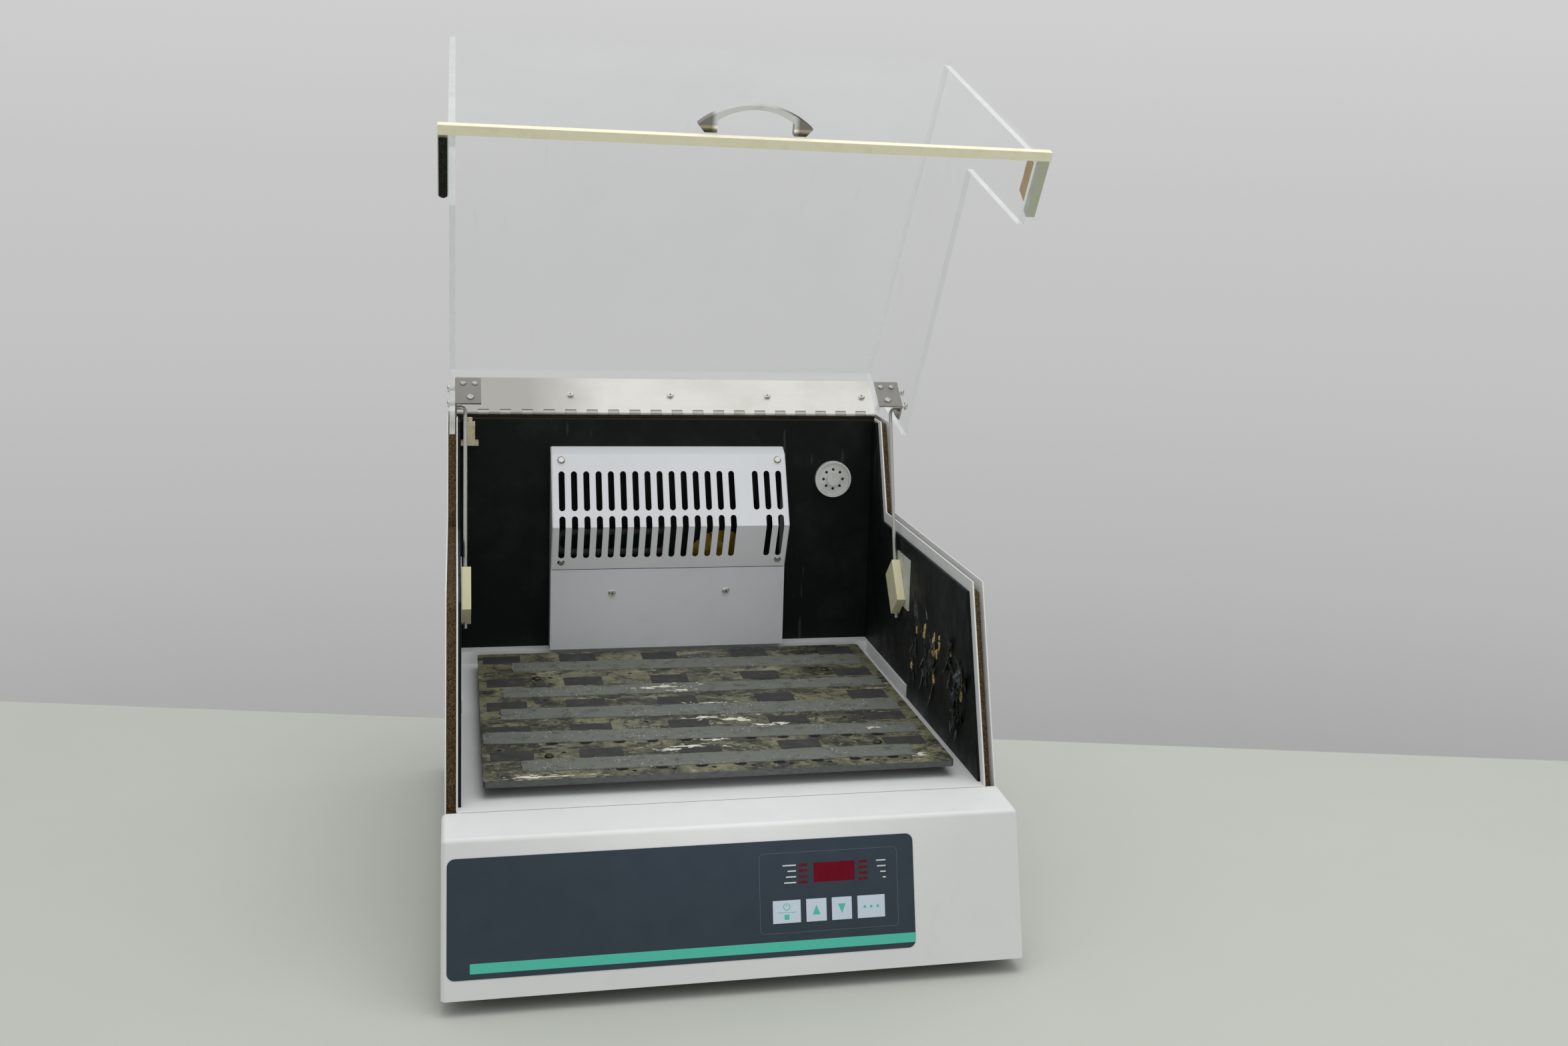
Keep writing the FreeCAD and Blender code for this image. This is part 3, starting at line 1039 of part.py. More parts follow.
def make_platform():
    half = "platform_side / 2"
    plate = box("plate", (f"-{half}", f"platform_back - {half}", "platform_under"),
                (half, f"platform_back + {half}", "platform_level"))
    soft = rounded("plate_soft", plate, "platform_round", lambda m, along: abs(along.z) > 0.5)
    holes = [rod("plate_hole", (x, y, "platform_under - seat_gap"), "screw_radius + screw_gap",
                 "platform_gauge + 2 * seat_gap") for x, y in PLATE_SCREWS]
    node("platform", cut("plate_drilled", soft, holes))
    strips = []
    for name, left, right, left_front, left_back, right_front, right_back in TAPE_SHARES:
        points = [(f"{across_plate} * {half}", f"platform_back + {along_plate} * {half}")
                  for across_plate, along_plate in ((left, left_front), (right, right_front),
                                                    (right, right_back), (left, left_back))]
        strips.append(prism(name, "XY", points, "platform_level", "grip_top"))
    heads = [rod("tape_hole", (x, y, "platform_level - grip_gauge"), "screw_head + screw_gap",
                 "3 * grip_gauge")
             for x, y in PLATE_SCREWS]
    node("grip_strips", cut("tapes", group("tape_set", strips), heads))
    long = "platform_gauge + carrier_gauge"
    pieces = [turned("plate_screw", [("0", f"-{long.replace(' + ', ' - ')}"),
                                     ("screw_radius", f"-{long.replace(' + ', ' - ')}")] + HEAD,
                     (x, y, "platform_level"))
              for x, y in PLATE_SCREWS]
    node("platform_screws", group("plate_screws", pieces))


def make_carrier():
    arm = "carrier_arm"
    rear = "idler_y + orbit_radius"
    arms = [box("arm_rear", ("-carrier_half", f"{rear} - {arm}", "carrier_under"),
                ("carrier_half", f"{rear} + {arm}", "platform_under")),
            box("arm_middle", (f"-{arm}", "carrier_front", "carrier_under"), (arm, rear, "platform_under")),
            box("arm_front", ("-carrier_half", "carrier_front", "carrier_under"),
                ("carrier_half", f"carrier_front + 2 * {arm}", "platform_under"))]
    tools = [rod("arm_hole", (x, y, "carrier_under - seat_gap"), "screw_radius + screw_gap",
                 "carrier_gauge + 2 * seat_gap") for x, y in PLATE_SCREWS]
    rings = []
    for x, y in SHAFTS:
        centre = (x, f"{y} + orbit_radius")
        arms.append(rod("boss", centre + ("boss_foot",), "boss_radius",
                        "carrier_under - boss_foot + carrier_gauge / 2"))
        tools.append(rod("boss_seat", centre + ("boss_foot - bearing_tall",), "bearing_outer",
                         "2 * bearing_tall"))
        tools.append(rod("boss_relief", centre + ("boss_foot",), "boss_bore",
                         "bearing_tall + crank_tall / 2"))
        outer = rod("crank_ring", centre + ("boss_foot",), "bearing_outer", "bearing_tall")
        inner = rod("crank_ring_bore", centre + ("boss_foot - bearing_tall",), "crank_pin + running_fit",
                    "3 * bearing_tall")
        rings.append(cut("crank_bearing", outer, [inner]))
    node("shaker_carrier", cut("carrier", fuse("carrier_blank", arms), tools))
    node("crank_bearings", group("crank_bearing_set", rings))


def crank(name, x, y):
    """A vertical shaft with a crank disc and an offset pin on its top, the pin to the rear at rest."""
    foot = "crank_top - crank_tall"
    stem = rod(name + "_stem", (x, y, "shaft_foot"), "shaft_radius", f"{foot} - shaft_foot")
    disc = rod(name + "_disc", (x, y, foot), "crank_radius", "crank_tall")
    pin = rod(name + "_pin", (x, f"{y} + orbit_radius", "crank_top"), "crank_pin", "crank_pin_tall")
    return fuse(name + "_whole", [stem, disc, pin])


def pulley(name, x, y, radius, bore, low):
    """A grooved belt pulley."""
    groove = "(pulley_tall - belt_tall - 2 * belt_gap) / 2"
    return turned(name, [(bore, "0"), (radius, "0"), (radius, groove), (f"{radius} - pulley_groove", groove),
                         (f"{radius} - pulley_groove", f"pulley_tall - {groove}"),
                         (radius, f"pulley_tall - {groove}"),
                         (radius, "pulley_tall"), (bore, "pulley_tall")], (x, y, low))


def loop(name, extra, low, high):
    """A tight loop about both pulley grooves, out from them by an extra distance."""
    wide = f"(pulley_radius - pulley_groove + {extra})"
    slim = f"(motor_pulley_radius - pulley_groove + {extra})"
    tall = f"({high}) - ({low})"
    ends = [rod(name + "_wide", ("0", "orbit_back", low), wide, tall),
            rod(name + "_slim", ("motor_x", "motor_y", low), slim, tall)]
    corners = []
    for x, y, radius, sign in (("0", "orbit_back", wide, "+"), ("0", "orbit_back", wide, "-"),
                               ("motor_x", "motor_y", slim, "-"), ("motor_x", "motor_y", slim, "+")):
        angle = f"(belt_turn {sign} belt_wrap) * 1 deg"
        corners.append((f"{x} + {radius} * cos({angle})", f"{y} + {radius} * sin({angle})"))
    return fuse(name, ends + [prism(name + "_web", "XY", corners, low, high)])


def make_drive():
    node("main_shaft", crank("main_crank", "0", "orbit_back"))
    node("idler_shaft_left", crank("left_crank", "-idler_side", "idler_y"))
    node("idler_shaft_right", crank("right_crank", "idler_side", "idler_y"))
    wheel = pulley("wheel", "0", "orbit_back", "pulley_radius", "shaft_radius", "pulley_level")
    top = "pulley_level + pulley_tall"
    half = rod("weight_half", ("0", "orbit_back", top), "weight_radius", "weight_tall")
    keep = box("weight_front", ("-2 * weight_radius", "orbit_back", f"{top} - weight_tall"),
               ("2 * weight_radius", "orbit_back + 2 * weight_radius", f"{top} + 2 * weight_tall"))
    core = rod("weight_core", ("0", "orbit_back", f"{top} - weight_tall"), "weight_inner", "3 * weight_tall")
    node("main_pulley", fuse("wheel_and_weight", [wheel, cut("weight", half, [keep, core])]))

    housings = []
    bearings = []
    pocket = "housing_pocket"
    for x, y in SHAFTS:
        housings.append(turned("housing", [
            ("bearing_seat", "0"), ("housing_flange", "0"), ("housing_flange", "housing_flange_tall"),
            ("housing_radius", "housing_flange_tall"), ("housing_radius", "housing_tall"),
            ("bearing_seat", "housing_tall"),
            ("bearing_seat", f"housing_tall - {pocket}"), ("housing_bore", f"housing_tall - {pocket}"),
            ("housing_bore", pocket), ("bearing_seat", pocket)], (x, y, "pan_top")))
        for level in (f"pan_top + {pocket} - bearing_tall", f"pan_top + housing_tall - {pocket}"):
            outer = rod("shaft_ring", (x, y, level), "bearing_seat", "bearing_tall")
            inner = rod("shaft_ring_bore", (x, y, f"{level} - bearing_tall"), "shaft_radius + running_fit",
                        "3 * bearing_tall")
            bearings.append(cut("shaft_bearing", outer, [inner]))
    node("bearing_housings", group("housing_set", housings))
    node("shaft_bearings", group("shaft_bearing_set", bearings))

    body = rod("motor_case", ("motor_x", "motor_y", "pan_top"), "motor_radius", "motor_tall")
    bore = rod("motor_hole", ("motor_x", "motor_y", "pan_top + motor_tall - motor_bore - seat_gap"),
               "motor_shaft + running_fit", "2 * motor_bore")
    node("drive_motor", cut("motor", body, [bore]))
    small = pulley("small_wheel", "motor_x", "motor_y", "motor_pulley_radius", "motor_shaft", "pulley_level")
    low = "pan_top + motor_tall - motor_bore"
    shaft = rod("motor_spindle", ("motor_x", "motor_y", low), "motor_shaft",
                f"pulley_level + pulley_tall - ({low})")
    node("motor_pulley", fuse("small_wheel_whole", [small, shaft]))
    low = "pulley_level + (pulley_tall - belt_tall) / 2"
    outer = loop("belt_outer", "belt_gap + belt_gauge", low, f"{low} + belt_tall")
    inner = loop("belt_inner", "belt_gap", f"{low} - belt_tall", f"{low} + 2 * belt_tall")
    node("drive_belt", cut("belt", outer, [inner]))


def make_power():
    node("power_supply", box("supply", ("supply_left", "supply_front", "pan_top"),
                             ("supply_left + supply_wide", "supply_front + supply_deep",
                              "pan_top + supply_tall")))
    back = "case_back"
    wide, tall = "inlet_wide / 2", "inlet_tall / 2"
    lug = "lug_gauge"
    flange = box("inlet_flange", (f"inlet_x - {wide} - 3 * {lug}", back, f"inlet_level - {tall} - 3 * {lug}"),
                 (f"inlet_x + {wide} + 3 * {lug}", f"{back} + {lug}", f"inlet_level + {tall} + 3 * {lug}"))
    body = box("inlet_body", (f"inlet_x - {wide}", f"{back} - inlet_deep", f"inlet_level - {tall}"),
               (f"inlet_x + {wide}", back, f"inlet_level + {tall}"))
    cavity = box("inlet_cavity", (f"inlet_x - {wide} + inlet_wall", f"{back} - inlet_deep + inlet_wall",
                                  f"inlet_level - {tall} + inlet_wall"),
                 (f"inlet_x + {wide} - inlet_wall", f"{back} + inlet_wall",
                  f"inlet_level + {tall} - inlet_wall"))
    pins = [box("inlet_pin", (f"inlet_x + {shift} - {lug} / 2", f"{back} - inlet_deep + inlet_wall",
                              f"inlet_level + {rise} - {lug}"),
                (f"inlet_x + {shift} + {lug} / 2", f"{back} - inlet_wall", f"inlet_level + {rise} + {lug}"))
            for shift, rise in (("-inlet_wide / 4", "-lug_gauge"), ("0", "lug_gauge"),
                                ("inlet_wide / 4", "-lug_gauge"))]
    socket = fuse("inlet_whole", [cut("inlet_shell", fuse("inlet_blank", [flange, body]), [cavity])] + pins)
    frame = box("rocker_frame", (f"switch_x - {FRAME_WIDE}", f"{back} - 2 * switch_deep",
                                 f"inlet_level - {FRAME_TALL}"),
                (f"switch_x + {FRAME_WIDE}", back, f"inlet_level + {FRAME_TALL}"))
    rim = box("rocker_rim", (f"switch_x - {FRAME_WIDE} - {lug}", back, f"inlet_level - {FRAME_TALL} - {lug}"),
              (f"switch_x + {FRAME_WIDE} + {lug}", f"{back} + {lug}", f"inlet_level + {FRAME_TALL} + {lug}"))
    well = box("rocker_well", ("switch_x - switch_half_wide - switch_gap",
                               f"{back} - 2 * switch_deep + {lug}",
                               "inlet_level - switch_half_tall - switch_gap"),
               ("switch_x + switch_half_wide + switch_gap", f"{back} + switch_deep",
                "inlet_level + switch_half_tall + switch_gap"))
    shell = cut("rocker_shell", fuse("rocker_blank", [frame, rim]), [well])
    node("power_inlet", group("inlet_set", [socket, shell]))
    drum = rod("rocker_drum", ("-switch_half_wide", "0", "0"), "switch_half_tall", "2 * switch_half_wide",
               "X")
    flat = box("rocker_flat", ("-2 * switch_half_wide", "switch_proud + switch_gap", "-2 * switch_half_tall"),
               ("2 * switch_half_wide", "2 * switch_half_tall", "2 * switch_half_tall"))
    place_turned = place(group("rocker_flat_set", [flat]), ("0", "0", "0"), "rocker_rest")
    rocker = cut("rocker", drum, [place_turned])
    node("power_switch", place(rocker, ("switch_x", "case_back", "inlet_level")))


def finish():
    doc.recompute()
    os.makedirs("parts", exist_ok=True)
    for thing in doc.Objects:
        if "Invalid" in thing.State or "Error" in thing.State:
            raise RuntimeError(f"{thing.Label} did not build: {thing.State}")
    for thing in NODES:
        shape = thing.Shape
        if shape.isNull() or not shape.isValid() or not shape.Solids:
            raise RuntimeError(f"{thing.Label} has no sound solid")
        shape.exportStep(f"parts/{thing.Label}.step")
    print(len(NODES), "sub-parts")


fill_sheet()
make_feet()
make_base_pan()
make_front_bezel()
make_front_panel()
make_walls()
make_chamber()
make_foam()
make_hinge()
make_lid()
make_lid_fittings()
make_stays()
make_cover()
make_air()
make_lid_switch()
make_platform()
make_carrier()
make_drive()
make_power()
finish()
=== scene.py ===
"""Finishes, fine pieces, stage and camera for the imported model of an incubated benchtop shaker."""

import math

import bpy
import numpy as np
from bpy.props import FloatProperty, FloatVectorProperty, IntProperty, PointerProperty
from mathutils import Matrix, Vector


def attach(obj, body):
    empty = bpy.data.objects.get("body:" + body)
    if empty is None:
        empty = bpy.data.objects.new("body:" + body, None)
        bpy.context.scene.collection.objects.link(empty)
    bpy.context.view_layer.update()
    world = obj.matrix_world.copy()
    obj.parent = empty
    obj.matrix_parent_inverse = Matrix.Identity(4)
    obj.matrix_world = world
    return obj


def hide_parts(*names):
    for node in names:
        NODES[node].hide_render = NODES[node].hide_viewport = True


bl_info = {
    "name": "Incubated shaker dressing",
    "version": (1, 0, 0),
    "blender": (4, 5, 0),
    "location": "View3D > Sidebar > Shaker",
    "description": "Finishes and fine pieces for an incubated benchtop shaker",
    "category": "Object",
}

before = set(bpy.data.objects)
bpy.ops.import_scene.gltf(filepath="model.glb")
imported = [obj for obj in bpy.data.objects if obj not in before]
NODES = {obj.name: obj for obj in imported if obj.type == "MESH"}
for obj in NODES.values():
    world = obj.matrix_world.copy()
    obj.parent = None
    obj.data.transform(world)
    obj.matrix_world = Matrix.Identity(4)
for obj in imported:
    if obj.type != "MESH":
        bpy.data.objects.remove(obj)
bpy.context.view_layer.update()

# Sizes and places below are in millimetres, except where a comment says metres.
MM = 0.001

# The leaning front face: its top edge, and how far it leans back.
FACE_EDGE = (-313.8, 146.2)
FACE_LEAN = math.radians(16.873)

# How far out of the front face the film and the keys' caps lie.
OVERLAY_OUT = 0.4
KEY_OUT = 0.9

# How far prints start under a surface and stand proud of it, the stripe more, and so for what is laid on it.
PRINT_SUNK = 0.02
PRINT_RISE = 0.04
STRIPE_RISE = 0.05
LAID_SUNK = 0.05
LAID_RISE = 0.06

# The stripe and the frame line on the front face, across and down it: left, right, top, bottom.
STRIPE_BOX = (-241.3, 161.0, 107.3, 116)
FRAME_BOX = (15.6, 145.3, 28, 99.8)
FRAME_ROUND = 4
FRAME_WIDE = 0.35

# Lamp ticks: each column's right end and the widths of its ticks, and every tick's place down and shape.
TICK_COLUMNS = ((49.7, (12.5, 8.0, 9.6, 11.4)), (134.6, (9.2, 8.4, 5.4, 3.2)))
TICK_TOP = 39.0
TICK_PITCH = 5.2
TICK_TALL = 1.1
TICK_ROUND = 0.5

# Marks on the keys: two arrows, a ring with a stem over a rule and a square, and three dots.
UP_ARROW = ((67.85, 76.2), (64.2, 85.0), (71.5, 85.0))
DOWN_ARROW = ((91.75, 85.4), (95.4, 76.6), (88.1, 76.6))
RING_CENTRE = (40.2, 76.4)
RING_RADIUS = 3.0
RING_LINE_SHARE = 0.12
RING_GAP = 0.5
STEM_BOX = (39.85, 40.55, 72.6, 76.4)
RULE_BOX = (31.5, 48.9, 81.2, 81.7)
SQUARE_BOX = (37.9, 42.5, 83.4, 88.0)
SQUARE_ROUND = 0.4
DOTS = (113.4, 119.55, 125.7)
DOT_LEVEL = 80.9
DOT_HALF = 1.3
DOT_ROUND = 1.25

# The lid's hinge line and its angle as it stands.
HINGE = (289.8, 446.6)
LID_ANGLE = math.radians(53.3)

# The tops of the shaking plate and of the ledge, and the seam across the ledge: left, right, front, back.
PLATE_TOP = 165.4
DECK_TOP = 148
SEAM_BOX = (-250, 250, -251.8, -251.0)

# Screw heads: their places across, with depth and level on the cover, reach and rise on the hinge's plate.
# Each head has a recess of two crossed bars, with a reach and a width, drawn dark as painted shade.
COVER_SCREWS = (-72, 65)
COVER_SCREW_DEPTH = 246.8
COVER_SCREW_LEVEL = 234
LEAF_SCREWS = (-240, -120, 0, 120, 240)
LEAF_SCREW_REACH = 5.6
LEAF_SCREW_RISE = 28
RECESS_REACH = 2.1
RECESS_WIDE = 0.7

# The brackets' front faces: their reach from the hinge, each fitting's place across, rise and radius, and
# how far the fittings stand out.
BRACKET_REACH = 106
BRACKET_FITTINGS = ((233, -62, 3.4), (246, -62, 3.4), (238, -84, 4.2))
FITTING_RISE = 2.0

# The vent plug's holes are drawn as dark discs of painted shade.
# The vent plug's holes: how many, their radius, their ring's radius, and how far behind its front they lie.
VENT_HOLES = 8
VENT_HOLE = 1.8
VENT_RING = 12
VENT_BOSS = 4

# The y past which the shell is painted dark brown, as shade under the hinge.
SHELL_SHADE_FROM = 283

# The right wall's lining. The stay rod sweeps over it behind a y, and torn flaps lie flat and slim there.
LINER_FACE = 248.5
ROD_SWEEP = -50
SWEPT_SLIM = 0.55
SWEPT_FLAT = 0.12

# Torn places on the right wall and streaks of bared foam: middle y and z, half depth along y and half height.
TORN = ((20, 248, 16, 16), (-14, 238, 12, 26), (-55, 224, 14, 28), (35, 205, 16, 18), (-28, 204, 14, 16),
        (-118, 250, 9, 24), (-140, 214, 16, 28), (-168, 236, 14, 16), (-160, 198, 12, 14))
STREAKS = ((-14, 244, 3.0, 13), (-52, 226, 4.5, 24), (-74, 250, 2.2, 9), (-66, 236, 2.5, 8),
           (-57, 204, 4, 7), (-163, 236, 3.4, 15), (-166, 216, 2.6, 9), (-134, 193, 3.2, 7),
           (-121, 252, 2, 6), (36, 196, 2.6, 7), (22, 236, 2.2, 8))

# The wall channel from the side: y and z where its front slope and its step start, and their run per rise.
SLOPE_FOOT = (-249.1, 148)
SLOPE_LEAN = 71.5 / 190.3
STEP_FOOT = (203.2, 338.3)
STEP_LEAN = 46.2 / 104.5
WALL_TOP = 451.8
CHANNEL_FOOT = 130
CHANNEL_BACK = 326.2

# The foam in the channel: how deep it lies, its depth, its nearer side and width across, the length of one
# step along it, and how high its crown stands over its sides and how far all of it has sunk.
FOAM_RECESS = 12
FOAM_DEEP = 14
FOAM_SIDE = 253.2
FOAM_WIDE = 8.6
FOAM_STEP = 2.4
FOAM_CROWN = 1.2
FOAM_DROP = 1.4

# The left bar's foam: its ends as reach, its side and width across, the bar's rise, and its thickness.
BAR_FOAM_ENDS = (546, 606)
BAR_FOAM_SIDE = 261.2
BAR_FOAM_WIDE = 7.0
BAR_RISE = -293.3
BAR_FOAM_THICK = 3.4

# The tape on the right bar: its ends as reach, its rises, its place across, its two faces from there, and
# the height of its waves.
BAR_TAPE_ENDS = (563, 606)
BAR_TAPE_RISES = (-292.6, -287.0, -281.0, -276.4)
BAR_TAPE_SIDE = 254.0
BAR_TAPE_FACES = (-0.05, 0.45)
BAR_TAPE_WAVE = 0.12

# Grip tapes: left x, right x, then front and back y at the left end and at the right end.
TAPES = (
    (-190, 215, 159.4, 194.4, 147.4, 189.4),
    (-203, 220, 53.4, 89.4, 53.4, 89.4),
    (-208, 217, -25.6, 11.4, -40.6, 0.4),
    (-227, 217, -106.6, -68.6, -123.6, -88.6),
    (-191, 195, -196.6, -162.6, -196.6, -162.6),
)

# The torn tape: its number, its torn spot, the spot's reach, and how high and rough it stands there.
TORN_TAPE = 2
TORN_SPOT = (-138, -14)
TORN_SPOT_REACH = (8, 9)
TORN_SPOT_RISE = 4.2
TORN_SPOT_ROUGH = 2.2

# The tapes: the highest they lie, how far off the plate their underside is, their thickness where torn.
TAPE_TOP = 1.0
TAPE_FOOT = 0.02
TAPE_THICK = 1.4

# Pads: their columns, their rows as y and depth, half their width and their corners' radius.
PAD_COLUMNS = (-200, -116, -18, 87, 194)
PAD_ROWS = ((211.4, 32), (112.4, 32), (23.4, 32), (-61.6, 26), (-147.6, 26))
PAD_HALF = 21
PAD_ROUND = 1.2

# The holes are drawn as dark discs of painted shade.
# Holes: the radii of wide ones, half hidden by the edges of two tapes, with their x, of small ones in a row,
# with their shift and y, and of single ones, with their places.
WIDE_HOLE = (6.4, 5.4)
FOURTH_TAPE_HOLES = np.arange(-160, 200, 33.2)
LAST_TAPE_HOLES = np.arange(-98.2, 190, 38.3)
ROW_HOLE = (2.6, 2.4)
ROW_SHIFT = 11.3
ROW_Y = -205.0
SINGLE_HOLE = (2.4, 2.2)
SINGLE_SPOTS = ((-212, -126), (-150, 130), (-60, 138), (60, 126), (150, 133), (-160, 40), (30, 38), (110, 28),
               (-60, -50), (150, -60), (-150, -140), (70, -150))

# Dried paint: middle x and y, half width and depth, how high over the plate it lies, and the spots by each.
MARKS = ((-30, 76, 22, 5, 1.0), (-46, 71, 9, 3.4, 1.0), (-10, 60, 10, 3, 1.0), (36, -54, 16, 10, 0.25),
         (4, -42, 14, 4, 0.25), (60, -79, 11, 3.2, 1.0), (78, -77, 6, 2, 1.0), (-26, -138, 24, 3.4, 0.25),
         (-44, -146, 14, 3.0, 0.25), (3, -120, 14, 2.6, 0.25), (-187, -211.5, 24, 3.4, 0.25),
         (-160, -211.5, 20, 1.1, 0.2), (196, -195, 8, 2.2, 0.2), (14, 10, 16, 1.6, 0.3),
         (170, -104, 6, 1.4, 1.0))
MARK_SPOTS = 14

# The bench, in metres: how far ahead of the camera it starts and ends, half its width, and its level.
BENCH_NEAR = -4.0
BENCH_FAR = 2.33
BENCH_WIDE = 5.0
BENCH_LEVEL = -0.0002

# The wide lamps, in metres: name, power setting, place and size, and what they point at. Then the beam.
LAMPS = (("lamp_above", "key", (0.3, -0.35, 2.4), 2.1), ("lamp_side", "fill", (1.9, -1.5, 1.2), 1.3))
LAMP_AIM = (0, 0, 0.25)
BEAM = (-0.05, -1.6, 0.36)
BEAM_AIM = (0, 0.25, 0.35)
BEAM_SPREAD = math.radians(23)
BEAM_SIZE = 0.12

# The wall behind: how far down and up the camera looks at it, and its grey at shares of that, ends first.
WALL_LOW = -0.30
WALL_HIGH = 0.10
WALL_TONES = ((0.0, 167), (1.0, 208), (0.22, 183), (0.5, 194), (0.75, 199))

# What metal and gloss mirror of the room: its grey from straight down, share 0, to straight up, share 1.
MIRROR_TONES = ((0.0, 150), (1.0, 238), (0.47, 150), (0.56, 70), (0.64, 96), (0.72, 205), (0.9, 236))

# The tint of the room's light, and between which heights of a ray it grows.
SKY_TINT = (0.98, 0.995, 1.0)
SKY_LOW = -0.1
SKY_HIGH = 0.9


def linear(red, green, blue):
    """A display colour of 0 to 255 as light: ((c / 255 + 0.055) / 1.055) to the power 2.4."""
    part = np.array((red, green, blue)) / 255
    light = np.where(part <= 0.04045, part / 12.92, ((part + 0.055) / 1.055) ** 2.4)
    return tuple(float(v) for v in light)


def shade(colour, factor, warm=0.0):
    """The colour times a factor, with red raised and blue lowered by a share of warmth."""
    red, green, blue = colour[:3]
    return (min(red * factor * (1 + warm), 1), min(green * factor, 1), min(blue * factor * (1 - warm), 1))


# Places

def stacked(*parts):
    """Places from their coordinates, spread to one shape."""
    return np.stack(np.broadcast_arrays(*parts), -1)


def on_face(x, down, out):
    """A point of the front face: down its slope from the top edge, and out along its normal."""
    y = FACE_EDGE[0] - down * math.sin(FACE_LEAN) - out * math.cos(FACE_LEAN)
    z = FACE_EDGE[1] - down * math.cos(FACE_LEAN) + out * math.sin(FACE_LEAN)
    return stacked(x, y, z)


def on_lid(x, reach, rise):
    """A point of the open lid, from its reach and rise with the lid shut, turned about the hinge line."""
    forward = reach * math.cos(LID_ANGLE) - rise * math.sin(LID_ANGLE)
    up = reach * math.sin(LID_ANGLE) + rise * math.cos(LID_ANGLE)
    return stacked(x, HINGE[0] - forward, HINGE[1] + up)


def on_lid_face(reach):
    """The place function of an upright face of the shut lid: across, up and out."""
    return lambda x, rise, out: on_lid(x, reach + out, rise)


def on_level(level):
    """The place function of a level surface: across, back and up."""
    return lambda x, y, out: stacked(x, y, level + out)


def on_front(depth):
    """The place function of an upright face towards the operator: across, up and out."""
    return lambda x, z, out: stacked(x, depth - out, z)


def on_right_wall(y, z, out):
    return stacked(LINER_FACE - out, y, z)


def channel_line(deep):
    """The wall's front and top edges moved inwards by a depth, from the deck to the back, as y and z."""
    slope_shift, step_shift = deep * math.hypot(1, SLOPE_LEAN), deep * math.hypot(1, STEP_LEAN)

    def slope(z):
        return SLOPE_FOOT[0] + SLOPE_LEAN * (z - SLOPE_FOOT[1]) + slope_shift, z

    def step(z):
        return STEP_FOOT[0] + STEP_LEAN * (z - STEP_FOOT[1]) + step_shift, z

    brow, top = STEP_FOOT[1] - deep, WALL_TOP - deep
    return np.array([slope(CHANNEL_FOOT), slope(brow), step(brow), step(top), (CHANNEL_BACK, top)])


# Shapes

def ripples(seed, pitch, count=9):
    """A smooth rough field: the mean of sine waves of random ways and phases, lengths near the pitch."""
    rng = np.random.default_rng(seed)
    way = rng.normal(size=(count, 3))
    way /= np.linalg.norm(way, axis=1)[:, None]
    wave = 2 * math.pi / (pitch * rng.uniform(0.5, 1.8, count))
    phase = rng.uniform(0, 2 * math.pi, count)

    def field(points):
        return np.sin(points @ (way * wave[:, None]).T + phase).sum(-1) / math.sqrt(count)
    return field


def loft(loops, closed=False):
    """A closed skin over a row of loops: quads join each to the next, and flat caps close the two ends."""
    loops = np.asarray(loops, float)
    rings, around = loops.shape[:2]
    i = np.arange(rings if closed else rings - 1)[:, None]
    j = np.arange(around)[None, :]
    ahead, beside = (i + 1) % rings, (j + 1) % around
    quads = np.stack([i * around + j, i * around + beside, ahead * around + beside, ahead * around + j], -1)
    faces = quads.reshape(-1, 4).tolist()
    if not closed:
        faces.append(list(range(around))[::-1])
        faces.append([(rings - 1) * around + k for k in range(around)])
    points = loops.reshape(-1, 3)
    a, b, c, d = (points[quads[..., k]] for k in range(4))
    middle = points.mean(0)
    out = np.cross(b - a, c - a) + np.cross(c - a, d - a)
    if (out * (a + b + c + d - 4 * middle)).sum() < 0:
        faces = [face[::-1] for face in faces]
    return points, faces


def slab(place, outline, low, high):
    """A flat piece on a surface: its outline in the surface's two ways, from a low to a high distance out."""
    outline = np.asarray(outline, float)
    return loft([place(outline[:, 0], outline[:, 1], out) for out in (low, high)])


def rounded(left, right, top, bottom, radius, steps=6):
    """A rectangle with round corners, as points round its edge."""
    turn = np.linspace(0, math.pi / 2, steps)
    arcs = []
    for x, y, start in ((right - radius, bottom - radius, 0), (left + radius, bottom - radius, 1),
                        (left + radius, top + radius, 2), (right - radius, top + radius, 3)):
        angle = turn + start * math.pi / 2
        arcs.append(stacked(x + radius * np.cos(angle), y + radius * np.sin(angle)))
    return np.concatenate(arcs)


def outline_band(place, outline, wide, low, high):
    """A thin raised line that follows a closed outline: its section is a rectangle, carried round."""
    outline = np.asarray(outline, float)
    along = np.roll(outline, -1, 0) - np.roll(outline, 1, 0)
    along /= np.linalg.norm(along, axis=1)[:, None]
    side = np.stack([-along[:, 1], along[:, 0]], -1) * wide / 2
    inner, outer = outline - side, outline + side
    section = [place(inner[:, 0], inner[:, 1], low), place(outer[:, 0], outer[:, 1], low),
               place(outer[:, 0], outer[:, 1], high), place(inner[:, 0], inner[:, 1], high)]
    return loft(np.stack(section, 1), closed=True)


